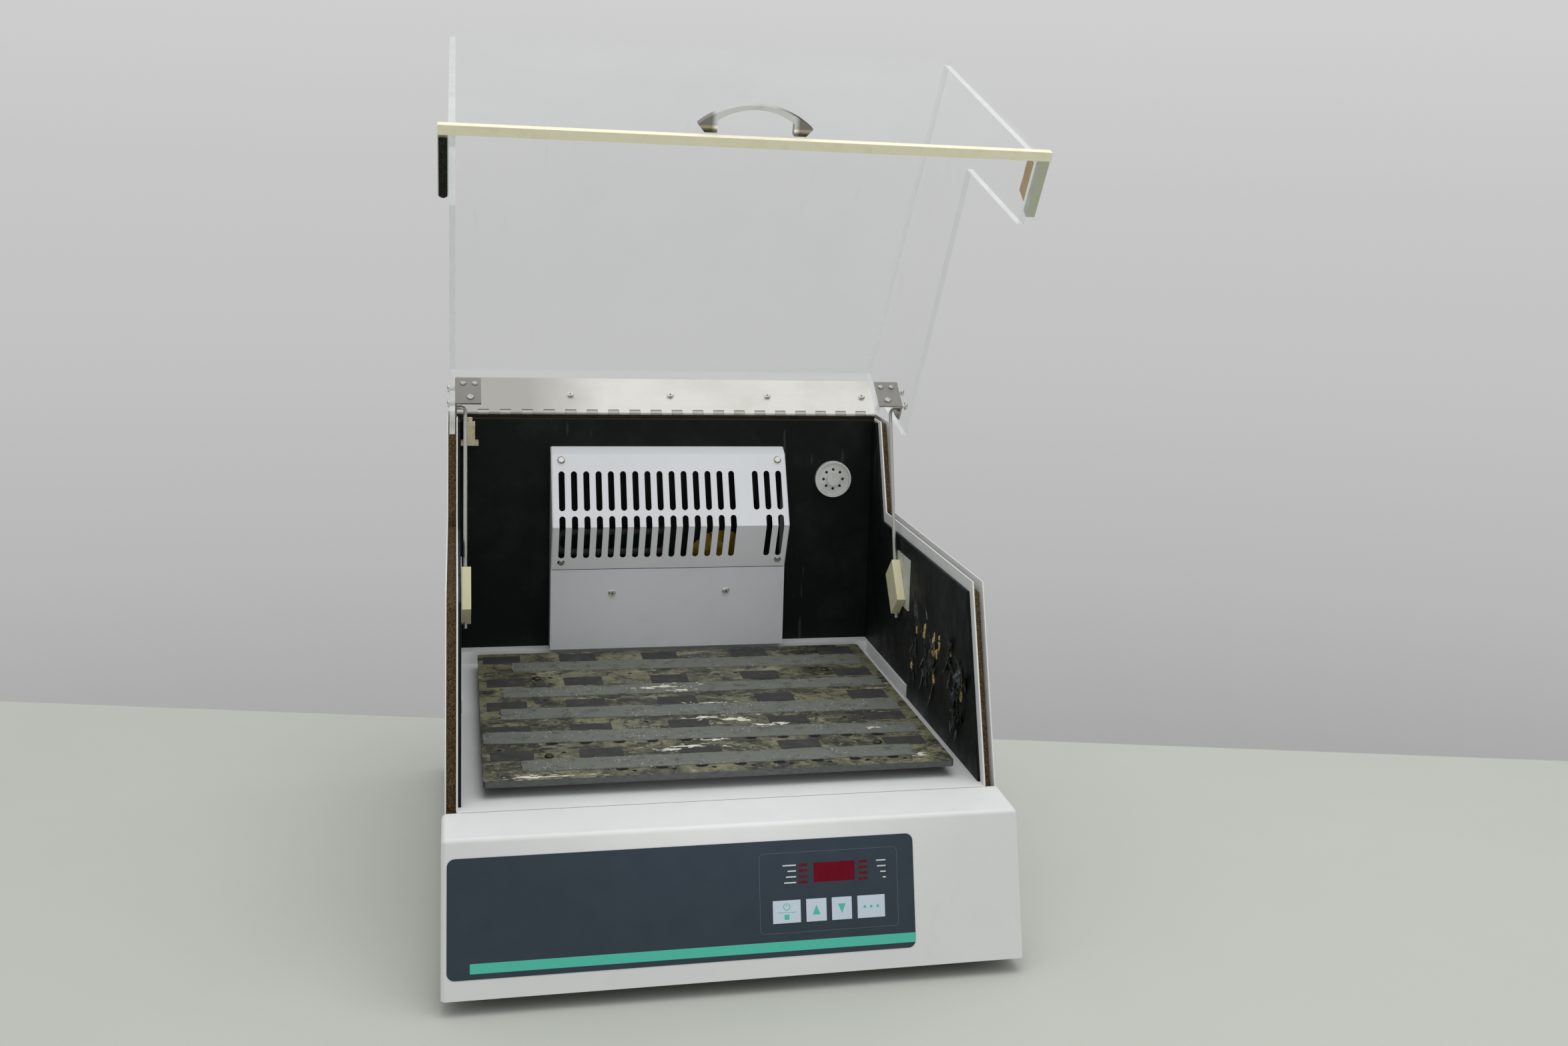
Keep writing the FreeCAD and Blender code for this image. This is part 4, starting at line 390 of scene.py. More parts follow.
def blob(place, centre, radii, turn, height, seed, ragged, spokes, sunk=LAID_SUNK):
    """A low dome with a ragged edge: its radius is 1 + waves round it, and its rings rise to the height."""
    rng = np.random.default_rng(seed)
    angle = np.linspace(0, 2 * math.pi, spokes, endpoint=False)
    reach = np.ones(spokes)
    for wave in range(2, 8):
        reach += ragged / wave ** 0.6 * rng.uniform(-1, 1) * np.sin(wave * angle + rng.uniform(0, 6.28))
    reach = np.clip(reach, 0.25, 2)
    loops = []
    for share, rise in ((1.0, -sunk), (0.96, 0.45), (0.75, 0.8), (0.42, 0.95), (0.12, 1.0)):
        lump = rise
        if rise > 0:
            lump = rise * height * (1 + 0.3 * rng.uniform(-1, 1, spokes) * (0.1 < share < 0.9))
        u, v = radii[0] * reach * share * np.cos(angle), radii[1] * reach * share * np.sin(angle)
        cos, sin = math.cos(turn), math.sin(turn)
        loops.append(place(centre[0] + u * cos - v * sin, centre[1] + u * sin + v * cos, lump))
    return loft(loops)


def flake(place, centre, long, wide, turn, lift, curl, thick, seed):
    """A torn flap: a strip whose far end curls away from the wall as lift s + curl s^2, with ragged sides."""
    rng = np.random.default_rng(seed)
    share = np.linspace(0, 1, 7)
    half = wide / 2 * (1 - 0.75 * share ** 2) * (1 + 0.3 * rng.uniform(-1, 1, 7))
    drift = np.cumsum(rng.uniform(-1, 1, 7)) * wide * 0.12
    out = lift * share + curl * share ** 2
    cos, sin = math.cos(turn), math.sin(turn)
    loops = []
    for s, h, d, o in zip(share * long, half, drift, out):
        u, v = np.array([d - h, d + h, d + h, d - h]), np.full(4, s)
        away = np.array([o, o + 0.3 * h, o + 0.3 * h + thick, o + thick])
        loops.append(place(centre[0] + u * cos - v * sin, centre[1] + u * sin + v * cos, away))
    return loft(loops)


def sheet(upper, lower):
    """A thin closed skin between two faces, each a grid of points."""
    return loft(np.concatenate([upper, lower[:, ::-1]], 1))


def rectangle(left, right, top, bottom):
    """The corners of a rectangle, in order round it."""
    return [(left, top), (right, top), (right, bottom), (left, bottom)]


def print_slab(outline, level, rise=PRINT_RISE):
    """A print on the front face, at a level out of it."""
    return slab(on_face, outline, level - PRINT_SUNK, level + rise)


def cross(place, x, z):
    """The two bars of a screw's cross recess, laid a hair's breadth proud of its head, for its painted shade.
    """
    return [slab(place, rectangle(x - a, x + a, z - b, z + b), -LAID_SUNK, LAID_RISE)
            for a, b in ((RECESS_REACH, RECESS_WIDE / 2), (RECESS_WIDE / 2, RECESS_REACH))]


def piece(name, shapes, body, finish, smooth=False, replaces=()):
    """One object from several shapes, in metres, riding on a body."""
    points, faces, start = [], [], 0
    for shape_points, shape_faces in shapes:
        points.append(shape_points)
        faces += [[corner + start for corner in face] for face in shape_faces]
        start += len(shape_points)
    mesh = bpy.data.meshes.new(name)
    mesh.from_pydata((np.concatenate(points) * MM).tolist(), [], faces)
    mesh.validate()
    mesh.polygons.foreach_set("use_smooth", np.full(len(mesh.polygons), smooth))
    mesh.materials.append(finish)
    thing = bpy.data.objects.new(name, mesh)
    bpy.context.scene.collection.objects.link(thing)
    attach(thing, body)
    if replaces:
        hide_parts(*replaces)
    return thing


def corners(name):
    """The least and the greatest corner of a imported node's box, in millimetres."""
    points = np.array([list(corner) for corner in NODES[name].bound_box]) / MM
    return points.min(0), points.max(0)


def wear(finish, *names):
    """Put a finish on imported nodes."""
    for name in names:
        for place in NODES[name].material_slots:
            place.material = finish


# Finishes

class Finish:
    """A node material in the making. Patterns read Object coordinates, in metres."""

    def __init__(self, name, colour, rough=0.5, metallic=0.0, **values):
        self.material = bpy.data.materials.new(name)
        self.material.use_nodes = True
        self.nodes, self.links = self.material.node_tree.nodes, self.material.node_tree.links
        self.nodes.clear()
        self.shader = self.nodes.new("ShaderNodeBsdfPrincipled")
        self.links.new(self.shader.outputs[0], self.nodes.new("ShaderNodeOutputMaterial").inputs[0])
        self.coords = self.nodes.new("ShaderNodeTexCoord").outputs["Object"]
        self.colour = tuple(colour[:3])
        self.normal = None
        self.set("Base Color", (*self.colour, 1))
        self.set("Roughness", rough)
        self.set("Metallic", metallic)
        for key, value in values.items():
            self.set(key.replace("_", " ").title().replace("Ior", "IOR"), value)

    def fill(self, socket, value):
        if isinstance(value, bpy.types.NodeSocket):
            self.links.new(value, socket)
        else:
            socket.default_value = value

    def set(self, socket, value):
        self.fill(self.shader.inputs[socket], value)

    def node(self, kind, inputs, output=0, **settings):
        made = self.nodes.new(kind)
        for key, value in settings.items():
            setattr(made, key, value)
        for key, value in inputs.items():
            self.fill(made.inputs[key], value)
        return made.outputs[output]

    def stretched(self, scale, turn=(0, 0, 0)):
        return self.node("ShaderNodeMapping", {"Vector": self.coords, "Scale": scale,
                                               "Rotation": [math.radians(a) for a in turn]})

    def noise(self, scale, detail=3, rough=0.5, vector=None, distort=0.0):
        inputs = {"Vector": vector or self.coords, "Scale": scale, "Detail": detail, "Roughness": rough,
                  "Distortion": distort}
        return self.node("ShaderNodeTexNoise", inputs)

    def cells(self, scale):
        return self.node("ShaderNodeTexVoronoi", {"Vector": self.coords, "Scale": scale})

    def band(self, value, low, high, to_low=0.0, to_high=1.0):
        """The value from low to high spread over the two results, and held outside."""
        return self.node("ShaderNodeMapRange", {"Value": value, "From Min": low, "From Max": high,
                                                "To Min": to_low, "To Max": to_high})

    def math(self, operation, a, b):
        return self.node("ShaderNodeMath", {0: a, 1: b}, operation=operation)

    def part(self, axis):
        return self.node("ShaderNodeSeparateXYZ", {"Vector": self.coords}, output="XYZ".index(axis))

    def blend(self, share, a, b):
        a, b = ((*v[:3], 1) if isinstance(v, tuple) else v for v in (a, b))
        return self.node("ShaderNodeMix", {0: share, 6: a, 7: b}, output=2, data_type="RGBA")

    def bump(self, height, strength, distance):
        inputs = {"Height": height, "Strength": strength, "Distance": distance}
        if self.normal:
            inputs["Normal"] = self.normal
        self.normal = self.node("ShaderNodeBump", inputs)
        self.set("Normal", self.normal)

    def patches(self, low, high, scale, *noise, **more):
        """Noise, held to 0 under the low value and to 1 over the high one."""
        return self.band(self.noise(scale, *noise, **more), low, high)

    def over(self, look, share, amount, colour):
        """The look with a colour laid over it, by an amount of a share."""
        return self.blend(self.math("MULTIPLY", share, amount), look, colour)

    def gloss(self, low, high, scale, detail=4, rough=0.5):
        """Roughness that wanders from low to high."""
        self.set("Roughness", self.band(self.noise(scale, detail, rough), 0.3, 0.7, low, high))


def coat_finish(name, colour, rough=0.48, grain=1300, dirt=0.2, shade_from_y=None):
    """Powder paint: a pebbled skin, cloudy tone, grime and small chips. Past a y it can be painted dark, as
    shade.
    """
    f = Finish(name, colour, rough)
    look = f.blend(f.patches(0.35, 0.65, 11, 4), shade(f.colour, 0.985), shade(f.colour, 1.01))
    look = f.over(look, f.patches(0.56, 0.78, 26, 6, 0.62), dirt, shade(f.colour, 0.72, 0.05))
    chips = f.math("MULTIPLY", f.band(f.cells(210), 0.06, 0.03), f.patches(0.62, 0.66, 19, 2))
    look = f.over(look, chips, 0.7, shade(f.colour, 0.35, 0.08))
    if shade_from_y is not None:
        past = f.band(f.part("Y"), shade_from_y * MM, (shade_from_y + 0.5) * MM)
        # Past the y the colour turns dark brown: painted shade.
        look = f.blend(past, look, linear(44, 38, 31))
    f.set("Base Color", look)
    f.gloss(rough - 0.07, rough + 0.08, 70)
    f.bump(f.noise(grain, 2, 0.6), 0.28, 0.00025)
    f.bump(f.noise(16, 2), 0.05, 0.002)
    return f.material


def plain_plastic(name, colour, rough=0.4, grain=900, tone=0.04, blotch=None, **values):
    """Moulded plastic: faint mottling, a fine grain and slightly uneven gloss."""
    f = Finish(name, colour, rough, **values)
    look = f.blend(f.noise(60, 5, 0.6), shade(f.colour, 1 - tone), shade(f.colour, 1 + tone))
    if blotch:
        look = f.blend(f.patches(0.52, 0.72, 48, 6, 0.65), look, blotch)
    f.set("Base Color", look)
    f.gloss(max(rough - 0.08, 0.03), rough + 0.08, 130)
    f.bump(f.noise(grain, 3), 0.16, 0.0002)
    return f.material


def brushed_metal(name, colour, rough=0.3, grain=(3, 1400, 1400), tone=0.10, blotch=0.0, painted_shade_left=None):
    """Brushed sheet: fine lines along the grain and dull clouds. It can fade from painted shade at one x to
    full colour.
    """
    f = Finish(name, colour, rough, 1.0)
    lines = f.noise(1.0, 4, 0.6, f.stretched(grain))
    clouds = f.noise(14, 5, 0.6)
    look = f.blend(lines, shade(f.colour, 1 - tone), shade(f.colour, 1 + tone))
    look = f.over(look, f.band(clouds, 0.45, 0.75), 0.35 + blotch, shade(f.colour, 0.7, 0.04))
    if painted_shade_left:
        start, end, factor = painted_shade_left
        look = f.blend(f.band(f.part("X"), start * MM, end * MM, 1, 0), look, shade(f.colour, factor))
    f.set("Base Color", look)
    f.set("Roughness", f.math("ADD", f.band(lines, 0.3, 0.7, rough - 0.06, rough + 0.06),
                              f.band(clouds, 0.4, 0.8, 0.0, 0.12)))
    f.bump(lines, 0.12, 0.0001)
    return f.material


def polished_metal(name, colour, rough=0.12, spots=0.4, painted_reflection_from=None):
    """Plated metal: bright, with tiny pits and dull wiped patches. It can turn brown away from x = 0, a
    painted reflection.
    """
    f = Finish(name, colour, rough, 1.0)
    pits = f.band(f.cells(900), 0.12, 0.05)
    dull = f.patches(0.48, 0.72, 90, 5, 0.6)
    look = f.over(f.colour, dull, spots, shade(f.colour, 0.5, 0.1))
    if painted_reflection_from:
        off = f.band(f.math("ABSOLUTE", f.part("X"), 0), painted_reflection_from[0] * MM, painted_reflection_from[1] * MM, 0, 0.75)
        look = f.blend(off, look, linear(92, 78, 60))
    f.set("Base Color", look)
    f.set("Roughness", f.math("ADD", f.math("MULTIPLY", dull, 0.22), f.band(pits, 0, 1, rough, rough + 0.15)))
    f.bump(f.noise(700, 2), 0.06, 0.0001)
    return f.material


def liner_finish(name, colour):
    """Glued black sheeting: soft waves, a low sheen, pale hair scratches, dust and rubbed patches."""
    f = Finish(name, colour, specular_ior_level=0.2)
    look = f.over(shade(f.colour, 0.9), f.patches(0.5, 0.78, 17, 7, 0.68), 0.3, linear(44, 50, 48))
    for turn, scale in (((0, 0, 24), 5.0), ((12, 0, -37), 4.0), ((0, 31, 8), 3.0)):
        way = f.stretched((18 * scale, 18 * scale, 2.4 * scale), turn)
        look = f.over(look, f.patches(0.715, 0.735, 1.0, 2, 0.5, way), 0.14, linear(92, 98, 100))
    f.set("Base Color", look)
    f.set("Roughness", f.band(f.noise(31, 6, 0.6), 0.3, 0.72, 0.36, 0.66))
    f.bump(f.noise(900, 2), 0.12, 0.0002)
    f.bump(f.noise(13, 3), 0.35, 0.004)
    return f.material


def foam_finish(name, colour, hole):
    """Open foam: dark pores between worn, paler ridges."""
    f = Finish(name, colour, 0.95, specular_ior_level=0.15)
    pores = f.cells(620)
    look = f.blend(f.band(pores, 0.2, 0.62), hole, shade(f.colour, 1.08))
    f.set("Base Color", f.blend(f.patches(0.45, 0.75, 40, 5, 0.65), look, shade(f.colour, 0.55, 0.03)))
    f.bump(pores, 0.8, 0.0012)
    f.bump(f.noise(160, 4), 0.5, 0.001)
    return f.material


def plate_finish(name, colour):
    """A worn plate: olive ground, dark stains, cream patches, spots, scratches, grit, soot, bare edges."""
    f = Finish(name, colour, 0.5, 0.25)
    look = f.blend(f.patches(0.42, 0.58, 16, 9, 0.7, distort=0.5), linear(58, 59, 50), f.colour)
    look = f.over(look, f.patches(0.5, 0.55, 12, 9, 0.74, distort=0.9), 0.88, linear(44, 46, 42))
    pale = f.patches(0.56, 0.62, 26, 10, 0.76, f.stretched((0.7, 1.5, 1)), 0.7)
    look = f.over(look, pale, 0.75, linear(160, 158, 130))
    spots = f.math("MULTIPLY", f.band(f.cells(64), 0.17, 0.14), f.patches(0.54, 0.57, 31, 2))
    look = f.over(look, spots, 0.85, linear(30, 31, 29))
    scratch = f.patches(0.66, 0.69, 1.0, 3, 0.5, f.stretched((26, 320, 320), (0, 0, 33)))
    look = f.over(look, scratch, 0.45, linear(176, 176, 160))
    look = f.over(look, f.patches(0.57, 0.59, 170, 8, 0.84), 0.75, linear(158, 156, 130))
    look = f.over(look, f.patches(0.54, 0.58, 120, 8, 0.8, distort=0.4), 0.85, linear(34, 35, 32))
    side = f.band(f.part("Z"), (PLATE_TOP - 0.35) * MM, (PLATE_TOP - 0.2) * MM, 1.0, 0.0)
    saw = f.noise(1.0, 3, 0.6, f.stretched((150, 150, 420), (0, 35, 0)))
    f.set("Base Color", f.blend(side, look, f.blend(saw, linear(58, 60, 60), linear(98, 100, 98))))
    f.gloss(0.36, 0.7, 28, 6, 0.6)
    f.bump(f.noise(520, 4), 0.2, 0.0003)
    return f.material


def tape_finish(name, colour):
    """Cloth tape: a fine weave, flattened dusty tone, white paint specks and grubby patches."""
    f = Finish(name, colour, specular_ior_level=0.3)
    thread = {"Vector": f.coords, "Scale": 430, "Distortion": 0.6}
    weave = f.math("MULTIPLY", f.node("ShaderNodeTexWave", thread),
                   f.node("ShaderNodeTexWave", thread, bands_direction="Y"))
    look = f.blend(f.noise(21, 6, 0.62), shade(f.colour, 0.82), shade(f.colour, 1.16))
    look = f.over(look, f.patches(0.53, 0.59, 60, 9, 0.8), 0.6, linear(58, 60, 55))
    flecks = f.math("MULTIPLY", f.band(f.cells(230), 0.2, 0.13), f.patches(0.49, 0.53, 33, 3))
    f.set("Base Color", f.over(look, flecks, 0.8, linear(196, 197, 190)))
    f.gloss(0.62, 0.82, 45)
    f.bump(weave, 0.25, 0.0002)
    f.bump(f.noise(48, 4), 0.3, 0.0012)
    return f.material


def clear_finish(name, tint, edges_face_sideways):
    """Clear cast sheet: a faint haze and hair scratches on its faces, and white edges: frosted saw cuts, with
    painted highlight for the glow of the edges.
    """
    f = Finish(name, tint, specular_ior_level=0.8)
    normal = f.node("ShaderNodeTexCoord", {}, "Normal")
    sideways = f.math("ABSOLUTE", f.node("ShaderNodeSeparateXYZ", {"Vector": normal}), 0)
    edge = f.band(sideways, 0.55, 0.75, *((0, 1) if edges_face_sideways else (1, 0)))
    streak = f.band(f.noise(1.0, 2, 0.5, f.stretched((60, 9, 9), (20, 0, 35))), 0.71, 0.74, 0.0, 0.02)
    haze = f.math("ADD", f.band(f.noise(7, 5, 0.6), 0.42, 0.8, 0.035, 0.075), streak)
    frost_and_glow_alpha = f.band(f.noise(34, 4, 0.5), 0.3, 0.7, 0.36, 0.54)
    f.set("Alpha", f.node("ShaderNodeMix", {0: edge, 2: haze, 3: frost_and_glow_alpha}, 0))
    # The edges' near white is partly frost and partly painted highlight for their glow.
    edge_frost_and_glow = f.blend(f.noise(40, 4), linear(234, 238, 238), linear(250, 252, 252))
    f.set("Base Color", f.blend(edge, f.colour, edge_frost_and_glow))
    f.set("Roughness", f.band(edge, 0, 1, 0.08, 0.5))
    return f.material


def overlay_finish(name, colour):
    """Printed plastic film: a fine satin pebble, a cloudy tone and a little dust."""
    f = Finish(name, colour)
    look = f.blend(f.noise(38, 5, 0.6), shade(f.colour, 0.93), shade(f.colour, 1.1))
    dust = f.math("MULTIPLY", f.band(f.cells(330), 0.07, 0.03), f.patches(0.55, 0.62, 24, 3))
    f.set("Base Color", f.over(look, dust, 0.5, linear(150, 154, 158)))
    f.gloss(0.36, 0.5, 52, 5)
    f.bump(f.noise(1500, 2), 0.22, 0.0002)
    return f.material


def window_finish(name, colour):
    """A tinted filter: deep red with a faint dark grid behind and a slightly smeared gloss."""
    f = Finish(name, colour, specular_ior_level=0.3)
    grid = f.node("ShaderNodeTexWave", {"Vector": f.coords, "Scale": 22, "Distortion": 0.0})
    look = f.blend(f.band(grid, 0.75, 1.0, 0.0, 0.3), f.colour, shade(f.colour, 0.55))
    f.set("Base Color", f.blend(f.noise(70, 4), look, shade(f.colour, 1.25)))
    f.gloss(0.1, 0.28, 90)
    f.bump(f.noise(600, 2), 0.04, 0.0001)
    return f.material


def floor_finish(name, colour):
    """The bench: a pale matt laminate with a faint cloudy tone."""
    f = Finish(name, colour, specular_ior_level=0.2)
    f.set("Base Color", f.blend(f.noise(5, 5, 0.55), shade(colour, 0.98), shade(colour, 1.02)))
    f.gloss(0.55, 0.68, 14)
    f.bump(f.noise(240, 3), 0.03, 0.0004)
    return f.material


# Settings

def tint(name, words, *display):
    return FloatVectorProperty(name=name, description=words, subtype="COLOR", size=3, min=0, max=1,
                               default=linear(*display))


def length(name, words, default, low, high):
    return FloatProperty(name=name, description=words, default=default, min=low, max=high, unit="LENGTH")


def power(name, words, default):
    return FloatProperty(name=name, description=words, default=default, min=0, unit="POWER")


class ShakerColours(bpy.types.PropertyGroup):
    case: tint("Case paint", "Powder paint on the case and its skins", 214, 215, 214)
    hood: tint("Air cover paint", "Paint on the cover over the fan and heater", 190, 192, 194)
    liner: tint("Chamber liner", "Black sheeting glued inside the chamber", 12, 17, 15)
    foam: tint("Channel foam", "Foam strip in the channel that the lid closes into", 112, 94, 66)
    overlay: tint("Front film", "Printed film on the front face", 44, 56, 68)
    stripe: tint("Stripe", "Coloured stripe and key symbols", 74, 186, 164)
    keys: tint("Keys", "Caps of the four keys", 196, 208, 220)
    window: tint("Display", "Display filter", 98, 10, 28)
    clear: tint("Lid sheet", "Tint of the clear lid", 222, 226, 228)
    trim: tint("Lid trim", "Moulding on the front edge of the lid", 240, 235, 205)
    block: tint("Guide blocks", "Moulded stay guides", 202, 198, 164)
    plate: tint("Plate", "Ground colour of the shaking plate", 124, 123, 96)
    tape: tint("Grip tape", "Cloth grip tape on the plate", 104, 106, 100)
    bench: tint("Bench", "The bench near the object", 184, 187, 179)


class ShakerSizes(bpy.types.PropertyGroup):
    tape_rise: length("Tape rise", "How far the grip tape stands above the plate", 0.0009, 0.0002, 0.001)
    tape_wave: length("Tape wave", "Height of the waves in the tape", 0.00012, 0, 0.0005)
    pad_rise: length("Pad rise", "Thickness of the black pads between the tapes", 0.0003, 0.0001, 0.001)
    foam_rough: length("Foam roughness", "Depth of the hollows in the channel foam", 0.0006, 0, 0.0015)
    tears: IntProperty(name="Torn flaps", description="Torn flaps of liner on the right wall",
                       default=96, min=0, max=200)
    seed: IntProperty(name="Seed", description="Start of every random draw", default=7, min=0)


class ShakerStage(bpy.types.PropertyGroup):
    camera_place: FloatVectorProperty(name="Camera place", description="Where the camera stands",
                                      unit="LENGTH", default=(-0.25431, -1.88090, 0.73378))
    camera_turn: FloatVectorProperty(name="Camera turn", description="The camera's angles", subtype="EULER",
                                     default=tuple(math.radians(a) for a in (81.90956, -2.26264, -14.93970)))
    lens: FloatProperty(name="Lens", description="Focal length on a 36 mm sensor",
                        default=41.129, min=10, max=200)
    shift_x: FloatProperty(name="Shift across", description="Sideways shift of the picture", default=-0.0987)
    shift_y: FloatProperty(name="Shift up", description="Upright shift of the picture", default=-0.0527)
    sky: FloatProperty(name="Room light", description="Strength of the room's light", default=0.62, min=0)
    low_share: FloatProperty(name="Low light", description="Share of it from the level", default=0.62, min=0)
    high_share: FloatProperty(name="High light", description="Share of it from overhead", default=1.7, min=0)
    key: power("Main lamp", "Power of the large lamp above", 17)
    beam: power("Chamber lamp", "Power of the soft beam into the chamber", 50)
    fill: power("Side lamp", "Power of the lamp at the side", 3)


# Pieces

class CaseSkins(bpy.types.Operator):
    """Paint the outer skins, the front casing, the deck and the inner shell"""
    bl_idname = "shaker.case_skins"
    bl_label = "Case skins"

    def execute(self, context):
        colour = context.scene.shaker_colours.case
        paint = coat_finish("case_paint", colour)
        wear(paint, "front_bezel", "outer_side_left", "outer_side_right", "outer_back", "chamber_deck")
        # The shell's back top is painted dark brown, as shade under the hinge.
        wear(coat_finish("shell_paint", colour, shade_from_y=SHELL_SHADE_FROM), "chamber_shell")
        seam = slab(on_level(DECK_TOP), rectangle(*SEAM_BOX), -LAID_SUNK, LAID_RISE)
        dark = plain_plastic("seam_dark", linear(96, 94, 88), 0.8, 400, 0.3)
        piece("ledge_seam", [seam], "case", dark)
        wear(brushed_metal("zinc_sheet", (0.55, 0.57, 0.58), 0.42, (40, 40, 900), 0.08, 0.2), "base_pan")
        wear(plain_plastic("rail_shade", linear(58, 50, 40), 0.6, 500, 0.15, linear(34, 30, 25)), "roof_rail")
        return {"FINISHED"}


class Feet(bpy.types.Operator):
    """Finish the four rubber feet"""
    bl_idname = "shaker.feet"
    bl_label = "Feet"

    def execute(self, context):
        wear(plain_plastic("feet_rubber", linear(42, 42, 42), 0.8, 700, 0.15, linear(78, 76, 72)), "feet")
        return {"FINISHED"}


class FrontPanel(bpy.types.Operator):
    """Make the printed film's stripe, frame line and marks, the keys' symbols, the display and the lamps"""
    bl_idname = "shaker.front_panel"
    bl_label = "Front panel"

    def execute(self, context):
        colours = context.scene.shaker_colours
        wear(overlay_finish("overlay_film", colours.overlay), "front_overlay")
        wear(window_finish("display_filter", colours.window), "display_window")
        wear(plain_plastic("lamp_lens", linear(96, 16, 28), 0.25, 500, 0.12), "indicator_lamps")
        cap = plain_plastic("key_cap", colours.keys, 0.38, 1300, 0.03)
        wear(cap, "key_start", "key_up", "key_down", "key_select")
        wear(plain_plastic("board_green", linear(40, 110, 66), 0.45, 500, 0.1), "control_board")

        stripe = print_slab(rectangle(*STRIPE_BOX), OVERLAY_OUT, STRIPE_RISE)
        frame_line = outline_band(on_face, rounded(*FRAME_BOX, FRAME_ROUND), FRAME_WIDE,
                                  OVERLAY_OUT - PRINT_SUNK, OVERLAY_OUT + PRINT_RISE)
        ticks = []
        for right, widths in TICK_COLUMNS:
            for row, wide in enumerate(widths):
                top = TICK_TOP + row * TICK_PITCH
                outline = rounded(right - wide, right, top, top + TICK_TALL, TICK_ROUND, 4)
                ticks.append(print_slab(outline, OVERLAY_OUT))
        teal = plain_plastic("print_teal", colours.stripe, 0.42, 1500, 0.04)
        grey = plain_plastic("print_line", linear(88, 98, 108), 0.4, 1500, 0.05)
        white = plain_plastic("print_white", linear(206, 212, 214), 0.42, 1500, 0.03)
        piece("panel_stripe", [stripe], "case", teal)
        piece("panel_frame_line", [frame_line], "case", grey)
        piece("panel_lamp_ticks", ticks, "case", white)

        pale = plain_plastic("key_print", colours.stripe, 0.42, 1500, 0.04)
        angle = np.linspace(RING_GAP, 2 * math.pi - RING_GAP, 22) - math.pi / 2
        ray = RING_RADIUS * stacked(np.cos(angle), np.sin(angle))
        ring = np.concatenate([ray * (1 + RING_LINE_SHARE), ray[::-1] * (1 - RING_LINE_SHARE)]) + RING_CENTRE
        start = [ring, rectangle(*STEM_BOX), rectangle(*RULE_BOX), rounded(*SQUARE_BOX, SQUARE_ROUND, 3)]
        dots = [rounded(x - DOT_HALF, x + DOT_HALF, DOT_LEVEL - DOT_HALF, DOT_LEVEL + DOT_HALF, DOT_ROUND)
                for x in DOTS]
        for key, outlines in (("up", [UP_ARROW]), ("down", [DOWN_ARROW]), ("start", start), ("select", dots)):
            marks = [print_slab(outline, KEY_OUT) for outline in outlines]
            piece(f"key_{key}_mark", marks, f"{key}_key", pale)
        return {"FINISHED"}


class ChamberLiner(bpy.types.Operator):
    """Finish the black liner and build the torn flaps and bared foam on its right wall"""
    bl_idname = "shaker.chamber_liner"
    bl_label = "Chamber liner"

    def execute(self, context):
        wear(liner_finish("liner_sheet", context.scene.shaker_colours.liner), "chamber_liner")
        sizes = context.scene.shaker_sizes
        rng = np.random.default_rng(sizes.seed)
        flaps = []
        for number in range(sizes.tears):
            y, z, deep, tall = TORN[number % len(TORN)]
            spot = (y + rng.normal() * deep * 0.6, z + rng.normal() * tall * 0.6)
            slim, flat = (SWEPT_SLIM, SWEPT_FLAT) if spot[0] > ROD_SWEEP else (1, 1)
            flaps.append(flake(on_right_wall, spot, rng.uniform(9, 30), slim * rng.uniform(5, 12),
                               rng.normal() * 0.6 + math.pi * (number % 2), flat * rng.uniform(0.8, 5.0),
                               flat * rng.uniform(-1.0, 6.0), slim * rng.uniform(0.4, 0.8),
                               sizes.seed + number))
        hollows = [blob(on_right_wall, (y, z), (deep, tall), 0.2 * rng.normal(), 0.35, 50 + number, 0.5, 40)
                   for number, (y, z, deep, tall) in enumerate(TORN)]
        bared = []
        for number, (y, z, deep, tall) in enumerate(STREAKS):
            for part in range(3):
                spot = (y + rng.normal() * deep * 0.4, z + rng.normal() * tall * 0.45)
                radii = (deep * rng.uniform(0.5, 1.1), tall * rng.uniform(0.35, 0.7))
                bared.append(blob(on_right_wall, spot, radii, rng.normal() * 0.25, rng.uniform(0.8, 2.4),
                                  90 + 3 * number + part, 0.5, 22))
        dark = plain_plastic("torn_hollow", linear(17, 18, 17), 0.9, 300, 0.5)
        piece("liner_torn_hollows", hollows, "case", dark)
        # The flaps' pale grey patches are painted highlights on the glossy sheeting.
        flap = plain_plastic("torn_flap", linear(24, 28, 28), 0.26, 320, 0.5, linear(96, 104, 110))
        piece("liner_torn_flaps", flaps, "case", flap)
        straw = foam_finish("bared_foam", linear(206, 184, 124), linear(120, 98, 52))
        piece("liner_bared_foam", bared, "case", straw, smooth=True)
        return {"FINISHED"}


